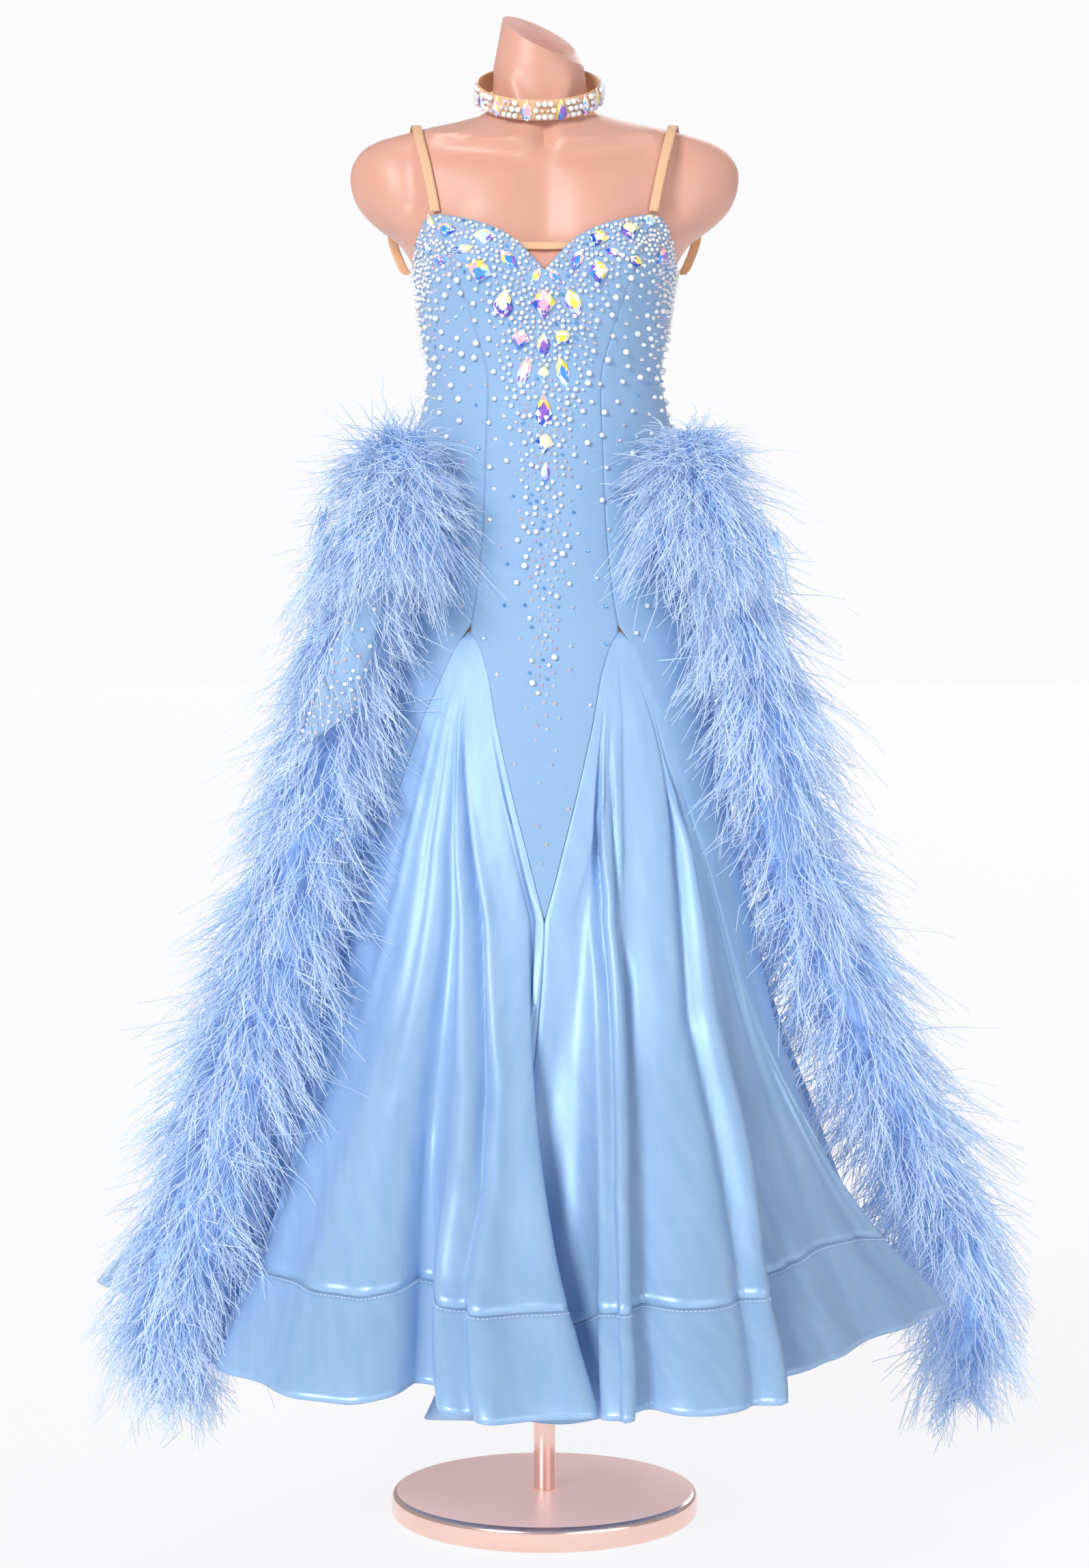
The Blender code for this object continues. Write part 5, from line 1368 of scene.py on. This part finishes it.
# %% [markdown]
# ## Pearls, small stones and large crystals
# The bodice is covered with half-round pearls and flat-backed rhinestones: nearly touching along the
# neckline, crowded over the bust, and thinning down a narrow triangle on the centre front. Scattering
# points with their own least spacing gives that gradual change, and a node tree sets a small mesh on each
# point facing out of the cloth. The large crystals are cut one by one, since each has its own outline.

# %% A node tree that sets beads on points
def bead_tree(name, finish, round_bead):
    """Points with facing and size in; pearls or cut stones out."""
    tree, group_in, group_out = new_tree(name, [("Stone sides", "NodeSocketInt", 8),
                                                ("Stone height", "NodeSocketFloat", 0.55)])
    if round_bead:
        bead = add_node(tree, "GeometryNodeMeshIcoSphere", Radius=0.5, Subdivisions=2)
    else:
        bead = add_node(tree, "GeometryNodeMeshCone", Side_Segments=1, Radius_Top=0.27, Radius_Bottom=0.5)
        tree.links.new(group_in.outputs["Stone sides"], bead.inputs["Vertices"])
        tree.links.new(group_in.outputs["Stone height"], bead.inputs["Depth"])
    aim = add_node(tree, "FunctionNodeAlignRotationToVector", {"axis": "Z"})
    tree.links.new(point_value(tree, "facing", "FLOAT_VECTOR"), aim.inputs["Vector"])
    grow = add_node(tree, "GeometryNodeInstanceOnPoints")
    tree.links.new(group_in.outputs["Geometry"], grow.inputs["Points"])
    tree.links.new(bead.outputs["Mesh"], grow.inputs["Instance"])
    tree.links.new(aim.outputs["Rotation"], grow.inputs["Rotation"])
    tree.links.new(point_value(tree, "size"), grow.inputs["Scale"])
    real, painted = finish_tree(tree, grow.outputs["Instances"], group_out, finish)
    shade = add_node(tree, "GeometryNodeSetShadeSmooth")
    shade.inputs["Shade Smooth"].default_value = round_bead
    tree.links.new(real.outputs["Geometry"], shade.inputs["Geometry"])
    tree.links.new(shade.outputs["Geometry"], painted.inputs["Geometry"])
    return tree


# %% Finishes of pearls, stones and crystals
def toned_finish(name, stops, roughness, **constants):
    """A finish whose colour runs through a ramp by each bead's own tone."""
    made, tree, shader = new_finish(name, stops[0][1], roughness, **constants)
    tone = add_node(tree, "ShaderNodeAttribute", {"attribute_name": "tone"})
    paint(tree, shader, tone.outputs["Fac"], stops)
    return made


pearl_finish = toned_finish("pearl_white", [
    (0.0, (0.72, 0.74, 0.78)), (0.6, (0.84, 0.85, 0.88)), (1.0, (0.90, 0.88, 0.86))],
    0.22, Specular_IOR_Level=0.7, Coat_Weight=0.5, Coat_Roughness=0.08)
stone_finish = toned_finish("rainbow_stone", [
    (0.0, (0.95, 0.72, 0.74)), (0.2, (0.86, 0.88, 0.95)), (0.4, (0.98, 0.78, 0.62)),
    (0.55, (0.80, 0.62, 0.88)), (0.7, (0.95, 0.93, 0.90)), (0.85, (0.62, 0.84, 0.92)),
    (1.0, (0.95, 0.60, 0.66))],
    0.07, Metallic=0.55, Coat_Weight=1.0, Coat_Roughness=0.03)
sapphire_finish = toned_finish("light_sapphire_stone", [(0.0, (0.10, 0.33, 0.68)), (1.0, (0.25, 0.55, 0.85))],
                               0.07, Metallic=0.5, Coat_Weight=1.0, Coat_Roughness=0.03)
set_pearls = bead_tree("set_pearls", pearl_finish, True)
set_stones = bead_tree("set_stones", stone_finish, False)
set_sapphires = bead_tree("set_sapphires", sapphire_finish, False)


def set_beads(name, kind, points, facing, sizes):
    """One joined mesh of beads of a kind; sunk pearls, flat-backed stones."""
    tree, sunk = {"pearls": (set_pearls, 0.30), "stones": (set_stones, 0.0),
                  "sapphires": (set_sapphires, 0.0)}[kind]
    mesh = made_mesh(name, points + facing * (sizes * sunk)[:, None], tree, {},
                     {"facing": facing}, {"size": sizes, "tone": rng.uniform(0.0, 1.0, len(points))})
    piece = add_piece(name, mesh, None, slot="stones")
    print(name, len(points), "beads,", triangle_count(mesh), "triangles")
    return piece


# %% The large crystals' places
# kind; place from the centre line and height; width, height; lean in degrees, anticlockwise from the front
Gem = namedtuple("Gem", "kind x z width height lean")
GEMS = [
    Gem("drop", -0.119, 1.379, 0.0086, 0.0143, -10), Gem("kite", -0.102, 1.368, 0.0214, 0.0143, 10),
    Gem("kite", -0.062, 1.359, 0.0226, 0.0156, 5), Gem("drop", -0.123, 1.352, 0.0100, 0.0128, 20),
    Gem("navette", -0.110, 1.338, 0.0107, 0.0185, -75), Gem("navette", -0.084, 1.347, 0.0092, 0.0212, 80),
    Gem("kite", -0.067, 1.323, 0.0241, 0.0226, 20), Gem("navette", -0.037, 1.335, 0.0127, 0.0212, -40),
    Gem("navette", -0.009, 1.318, 0.0085, 0.0184, 28), Gem("navette", 0.011, 1.318, 0.0085, 0.0184, -35),
    Gem("drop", -0.042, 1.292, 0.0190, 0.0268, 15), Gem("kite", -0.001, 1.290, 0.0226, 0.0268, 0),
    Gem("navette", 0.030, 1.292, 0.0155, 0.0268, -25), Gem("navette", 0.034, 1.335, 0.0113, 0.0198, 20),
    Gem("kite", 0.056, 1.322, 0.0184, 0.0219, -10), Gem("kite", 0.055, 1.357, 0.0184, 0.0169, 15),
    Gem("navette", 0.071, 1.343, 0.0085, 0.0163, -75), Gem("kite", 0.088, 1.366, 0.0200, 0.0178, -20),
    Gem("kite", 0.109, 1.378, 0.0171, 0.0128, 10), Gem("drop", 0.122, 1.345, 0.0171, 0.0171, -15),
    Gem("navette", 0.095, 1.335, 0.0100, 0.0178, -65), Gem("kite", -0.025, 1.254, 0.0177, 0.0184, 15),
    Gem("navette", -0.001, 1.249, 0.0127, 0.0212, 0), Gem("kite", 0.018, 1.256, 0.0169, 0.0169, 40),
    Gem("navette", -0.021, 1.221, 0.0127, 0.0297, 18), Gem("kite", -0.001, 1.219, 0.0113, 0.0141, 0),
    Gem("navette", 0.019, 1.221, 0.0127, 0.0297, -14), Gem("drop", -0.001, 1.182, 0.0162, 0.0290, 0),
    Gem("kite", 0.000, 1.146, 0.0177, 0.0191, 8), Gem("navette", 0.001, 1.116, 0.0085, 0.0191, 0),
]
GEM_OUTLINES = {
    "kite": [(0.0, -1.0), (0.42, -0.52), (1.0, 0.10), (0.55, 0.70), (0.0, 1.0), (-0.55, 0.70), (-1.0, 0.10),
             (-0.42, -0.52)],
    "navette": [(0.0, -1.0), (0.58, -0.62), (0.95, -0.12), (0.82, 0.42), (0.0, 1.0), (-0.82, 0.42),
                (-0.95, -0.12), (-0.58, -0.62)],
    "drop": [(0.0, -1.0), (0.62, -0.84), (1.0, -0.28), (0.66, 0.36), (0.0, 1.0), (-0.66, 0.36), (-1.0, -0.28),
             (-0.62, -0.84)],
}
WARM_FACETS = [(0.93, 0.76, 0.10), (0.90, 0.84, 0.42), (0.95, 0.90, 0.62), (0.88, 0.45, 0.62),
               (0.90, 0.88, 0.84)]
COOL_FACETS = [(0.01, 0.08, 0.55), (0.06, 0.30, 0.80), (0.55, 0.74, 0.95), (0.30, 0.12, 0.60),
               (0.84, 0.90, 0.96)]


def front_angle(x, z):
    """The angle on the figure whose outside lies at x from the centre line."""
    angle = 0.0
    for _ in range(8):
        half_width = gown_section(z)[1] + cup(angle, z, CUP_DEPTH)
        angle = np.degrees(np.arcsin(np.clip(x / half_width, -0.999, 0.999)))
    return float(angle)


def figure_frame(angle, z):
    """Place on the gown and its outward, sideways and upward directions."""
    place = gown_point(angle, z)
    side = unit(gown_point(angle + 0.5, z) - gown_point(angle - 0.5, z))
    up = unit(gown_point(angle, z + 0.002) - gown_point(angle, z - 0.002))
    return place, unit(np.cross(side, up)), side, up


# %% Cut the large crystals
def cut_gem(work, colours, place, out, side, up, gem):
    """A flat-backed crystal: girdle, crown facets in two tiers and a table."""
    lean = radians(gem.lean)
    outline = np.array(GEM_OUTLINES[gem.kind]) * (0.56 * gem.width, 0.59 * gem.height)
    count, tall = len(outline), 0.30 * min(gem.width, gem.height)
    across = side * cos(lean) - up * sin(lean)
    along = side * sin(lean) + up * cos(lean)

    def ring(scale, height, turned_half):
        points = outline if not turned_half else (outline + np.roll(outline, -1, axis=0)) / 2
        return [work.verts.new(place + across * u * scale + along * v * scale + out * height)
                for u, v in points]

    back, girdle = ring(0.97, 0.0, False), ring(1.0, 0.22 * tall, False)
    crown, table = ring(0.80, 0.66 * tall, True), ring(0.46, tall, False)
    faces = [work.faces.new(reversed(back)), work.faces.new(table)]
    for k in range(count):
        n = (k + 1) % count
        faces.append(work.faces.new((back[k], back[n], girdle[n], girdle[k])))
        faces.append(work.faces.new((girdle[k], girdle[n], crown[k])))
        faces.append(work.faces.new((crown[k], girdle[n], crown[n])))
        faces.append(work.faces.new((table[k], crown[k], table[n])))
        faces.append(work.faces.new((crown[k], crown[n], table[n])))
    split = rng.uniform(-0.9, 0.9)
    warm, cool = [[family[k] for k in rng.permutation(len(family))[:3]]
                  for family in (WARM_FACETS, COOL_FACETS)]
    for face in faces:
        centre = face.calc_center_median() - Vector(place)
        turn = (centre.dot(Vector(side)) / gem.width * sin(split)
                + centre.dot(Vector(up)) / gem.height * cos(split))
        family = warm if turn + rng.normal(0.0, 0.09) > 0.02 else cool
        colours.append(family[int(rng.integers(0, 3))])


def gem_piece(name, settings):
    """All crystals of one group as a mesh with a colour on each facet."""
    work, colours = bmesh.new(), []
    for place, out, side, up, gem in settings:
        cut_gem(work, colours, place, out, side, up, gem)
    mesh = bpy.data.meshes.new(name)
    work.to_mesh(mesh)
    work.free()
    layer = mesh.color_attributes.new("facet_colour", "FLOAT_COLOR", "CORNER")
    tints = [(*colours[face.index], 1.0) for face in mesh.polygons for _ in face.loop_indices]
    layer.data.foreach_set("color", np.array(tints, np.float32).ravel())
    return add_piece(name, mesh, crystal_finish, slot="stones")


crystal_finish, tree, shader = new_finish("rainbow_crystal", (0.9, 0.9, 0.95), 0.08, Metallic=0.0,
                                          Coat_Weight=0.4, Coat_Roughness=0.02)
facet = add_node(tree, "ShaderNodeVertexColor", {"layer_name": "facet_colour"})
tree.links.new(facet.outputs["Color"], shader.inputs["Base Color"])
gem_settings = []
for gem in GEMS:
    place, out, side, up = figure_frame(front_angle(gem.x, gem.z), gem.z)
    gem_settings.append((place, out, side, up, gem))
gem_piece("bodice_crystals", gem_settings)
print("bodice crystals:", len(gem_settings))

# %% Scatter the bodice's pearls and stones
TRIANGLE = [(0.70, 0.005), (0.80, 0.012), (0.95, 0.020), (1.05, 0.026), (1.15, 0.034), (1.25, 0.052),
            (1.31, 0.072)]
CANDIDATES = 260000


def bead_spacing(angle, x, z):
    """Least distance between beads at a place on the bodice."""
    turned_away = np.abs((angle + 180.0) % 360.0 - 180.0)
    below_edge = top_edge_height(angle) - z
    half = np.interp(z, *zip(*TRIANGLE))
    spread = 0.030 + 0.022 * smooth_step(1.00, 0.80, z)
    spread = np.where(z > 1.10, np.interp(z, [1.10, 1.20, 1.30], [0.021, 0.017, 0.0125]), spread)
    bust = np.interp(below_edge, [0.008, 0.032, 0.055, 0.085], [0.0043, 0.0048, 0.0070, 0.0130])
    spread = np.where(below_edge < 0.085, np.minimum(spread, bust), spread)
    middle = np.interp(z, [0.70, 0.90, 1.05, 1.20, 1.30], [0.018, 0.0078, 0.0060, 0.0054, 0.0050])
    share = np.abs(x) / half
    inside = middle * (1.0 + 0.55 * np.clip(share, 0.0, 1.0) ** 2)
    in_front = turned_away < 60
    spread = np.where((share < 1.0) & in_front, np.minimum(spread, inside), spread)
    spread = np.where((share >= 1.0) & (share < 1.8) & in_front, np.minimum(spread, inside * 2.0), spread)
    armhole = (turned_away > 56) & (turned_away < 92) & (z > 1.18)
    spread = np.where(armhole, np.minimum(spread, np.interp(z, [1.18, 1.26], [0.015, 0.0082])), spread)
    behind = np.where(below_edge < 0.006, 0.0060, np.where(z > 1.12, 0.030, 0.046))
    return np.where(turned_away > 96, behind, spread)


def scatter_bodice():
    """Angles, heights and spacings of beads, none nearer to another than its own spacing."""
    height = 0.70 + 0.69 * rng.uniform(0.0, 1.0, CANDIDATES) ** 0.55
    angle = np.concatenate([rng.normal(0.0, 30.0, CANDIDATES // 2),
                            rng.uniform(-180.0, 180.0, CANDIDATES // 2)])
    low = np.interp(np.abs(angle), [0, 20, 40, 60, 180], [0.70, 0.90, 0.97, 1.00, 1.00])
    good = (height < top_edge_height(angle) - 0.0025) & (height > low)
    angle, height = angle[good], height[good]
    places, facing, _, _ = figure_frame(angle, height)
    spacing = bead_spacing(angle, places[:, 0], height)
    gem_places = np.array([row[0] for row in gem_settings])
    gem_reach = np.array([0.5 * max(gem.width, gem.height) for gem in GEMS])
    clear = (np.linalg.norm(places[:, None] - gem_places, axis=-1) > gem_reach * 0.86 + 0.0020).all(axis=1)
    kept = []
    taken, taken_space = np.full((3000, 3), 9.0), np.zeros(3000)
    for k in np.flatnonzero(clear):
        count = len(kept)
        apart = ((taken[:count] - places[k]) ** 2).sum(axis=1)
        if count and (apart < (0.5 * (spacing[k] + taken_space[:count])) ** 2).any():
            continue
        taken[count], taken_space[count] = places[k], spacing[k]
        kept.append(k)
    return places[kept], facing[kept], spacing[kept], height[kept]


places, facing, spacing, height = scatter_bodice()
crowded = spacing < 0.0080
draw = rng.uniform(0.0, 1.0, len(places))
stone_share = np.interp(height, [0.9, 1.1, 1.2], [0.66, 0.42, 0.27])
sapphires = (draw > 0.88) & (height < 1.15) | (draw > 0.97)
stones = (draw < stone_share) & ~sapphires
pearls = ~stones & ~sapphires
sizes = np.where(crowded, rng.choice([0.0042, 0.0048, 0.0056], len(places), p=[0.45, 0.35, 0.20]),
                 rng.choice([0.0050, 0.0058, 0.0068], len(places), p=[0.45, 0.35, 0.20]))
sizes = np.minimum(sizes, np.maximum(0.0041, 0.92 * spacing))
set_beads("bodice_pearls", "pearls", places[pearls], facing[pearls], sizes[pearls])
set_beads("bodice_stones", "stones", places[stones], facing[stones], np.minimum(sizes[stones], 0.0044))
set_beads("bodice_sapphires", "sapphires", places[sapphires], facing[sapphires],
          np.full(sapphires.sum(), 0.0042))

# %% Choker and gauntlet stones
CHOKER_ROWS, CHOKER_COUNT = 3, 66
rows, cols = np.meshgrid(np.arange(CHOKER_ROWS), np.arange(CHOKER_COUNT), indexing="ij")
turn = (cols + 0.5 * (rows % 2)).ravel() * 2 * pi / CHOKER_COUNT
level = (rows.ravel() - (CHOKER_ROWS - 1) / 2) * 0.0068
DROP_TURNS = np.radians([-66, -42, -11, 21, 48, 68, 100, 140, 180, 220, 260])
near_drop = np.abs((turn[:, None] - DROP_TURNS + pi) % (2 * pi) - pi).min(axis=1) * 0.067 < 0.0068
turn, level = turn[~near_drop], level[~near_drop]
band_places = choker_points(turn, level)
band_facing = unit(choker_points(turn, level, 0.002) - band_places)
is_pearl = rng.uniform(0.0, 1.0, len(turn)) < 0.62
for kind, chosen, size in (("pearls", is_pearl, 0.0064), ("stones", ~is_pearl, 0.0058)):
    set_beads("choker_" + kind, kind, band_places[chosen], band_facing[chosen],
              np.full(chosen.sum(), size))
drops = []
for drop_turn in DROP_TURNS:
    place = choker_points(drop_turn, 0.0)
    out = unit(choker_points(drop_turn, 0.0, 0.002) - place)
    up = unit(choker_points(drop_turn, 0.004) - place)
    drops.append((place, out, unit(np.cross(up, out)), up, Gem("drop", 0, 0, 0.0108, 0.0200, 0)))
gem_piece("choker_crystals", drops)

for name, grid in gauntlet_grids.items():
    ring_count = grid.shape[1]
    row = (grid.shape[0] - 2) * rng.uniform(0.0, 1.0, 2600) ** 1.5
    col = rng.integers(0, ring_count, 2600)
    row = row.astype(int) + 1
    spots = grid[row, col]
    outward = unit(spots - grid.mean(axis=1)[row]) * (1.0, 1.0, 0.0)
    outward = unit(outward * (0.35, 1.0, 1.0))
    space = np.interp(row, [0, 15, 30, 44], [0.0055, 0.0085, 0.018, 0.034])
    kept = []
    for k in range(len(spots)):
        if not kept or (np.linalg.norm(spots[kept] - spots[k], axis=-1) > space[k]).all():
            kept.append(k)
    kept = np.array(kept)
    is_pearl = rng.uniform(0.0, 1.0, len(kept)) < 0.35
    for kind, chosen, size in (("pearls", is_pearl, 0.0044), ("stones", ~is_pearl, 0.0046)):
        set_beads(name + "_" + kind, kind, spots[kept[chosen]], outward[kept[chosen]],
                  np.full(chosen.sum(), size))

# %% [markdown]
# ## Topstitching round the hem band
# The band is sewn on with one line of pale topstitching just under its top edge. A line of points follows
# that edge, and a node tree spaces short stitches along it, each turned to lie flat on the cloth.

# %% A node tree that sews along a line
STITCH_LENGTH, STITCH_PITCH, STITCH_WIDTH, STITCH_BELOW = 0.0030, 0.0044, 0.0007, 0.0034
thread, tree, shader = new_finish("pale_thread", (0.55, 0.68, 0.90), 0.5, Sheen_Weight=0.3)
paint(tree, shader, noise(tree, own_place(tree), 400.0),
      [(0.3, (0.50, 0.63, 0.86)), (0.7, (0.62, 0.74, 0.93))])


def stitch_tree(finish):
    tree, group_in, group_out = new_tree("sew_line", [
        ("Pitch", "NodeSocketFloat", 0.004), ("Stitch size", "NodeSocketVector", None)])
    line = add_node(tree, "GeometryNodeMeshToCurve")
    spaced = add_node(tree, "GeometryNodeResampleCurve", {"mode": "LENGTH"})
    spots = add_node(tree, "GeometryNodeCurveToPoints", {"mode": "EVALUATED"})
    tree.links.new(group_in.outputs["Geometry"], line.inputs["Mesh"])
    tree.links.new(line.outputs["Curve"], spaced.inputs["Curve"])
    tree.links.new(group_in.outputs["Pitch"], spaced.inputs["Length"])
    tree.links.new(spaced.outputs["Curve"], spots.inputs["Curve"])
    stitch = add_node(tree, "GeometryNodeMeshCube")
    tree.links.new(group_in.outputs["Stitch size"], stitch.inputs["Size"])
    lie = add_node(tree, "FunctionNodeAlignRotationToVector", {"axis": "X"})
    tree.links.new(spots.outputs["Tangent"], lie.inputs["Vector"])
    face = add_node(tree, "FunctionNodeAlignRotationToVector", {"axis": "Z", "pivot_axis": "X"})
    tree.links.new(lie.outputs["Rotation"], face.inputs["Rotation"])
    tree.links.new(point_value(tree, "facing", "FLOAT_VECTOR"), face.inputs["Vector"])
    sewn = add_node(tree, "GeometryNodeInstanceOnPoints")
    tree.links.new(spots.outputs["Points"], sewn.inputs["Points"])
    tree.links.new(stitch.outputs["Mesh"], sewn.inputs["Instance"])
    tree.links.new(face.outputs["Rotation"], sewn.inputs["Rotation"])
    finish_tree(tree, sewn.outputs["Instances"], group_out, finish)
    return tree


sew_line = stitch_tree(thread)
line_points, line_facing = [], []
for godet in GODET_SIZES:
    grid = band_grids[godet]
    below = grid[-1] + unit(grid[-2] - grid[-1]) * STITCH_BELOW
    outward = level_normals(np.array([grid[-1], grid[-2]]))[0]
    line_points.append((below + outward * 0.0002)[1:-1])
    line_facing.append(outward[1:-1])
edges, start = [], 0
for part in line_points:
    edges += [(start + k, start + k + 1) for k in range(len(part) - 1)]
    start += len(part)
mesh = made_mesh("hem_topstitching", np.concatenate(line_points), sew_line,
                 {"Pitch": STITCH_PITCH, "Stitch size": (STITCH_LENGTH, STITCH_WIDTH, 0.0008)},
                 {"facing": np.concatenate(line_facing)}, edges=edges)
add_piece("hem_topstitching", mesh, None, slot="satin")
print("topstitching triangles", triangle_count(mesh))
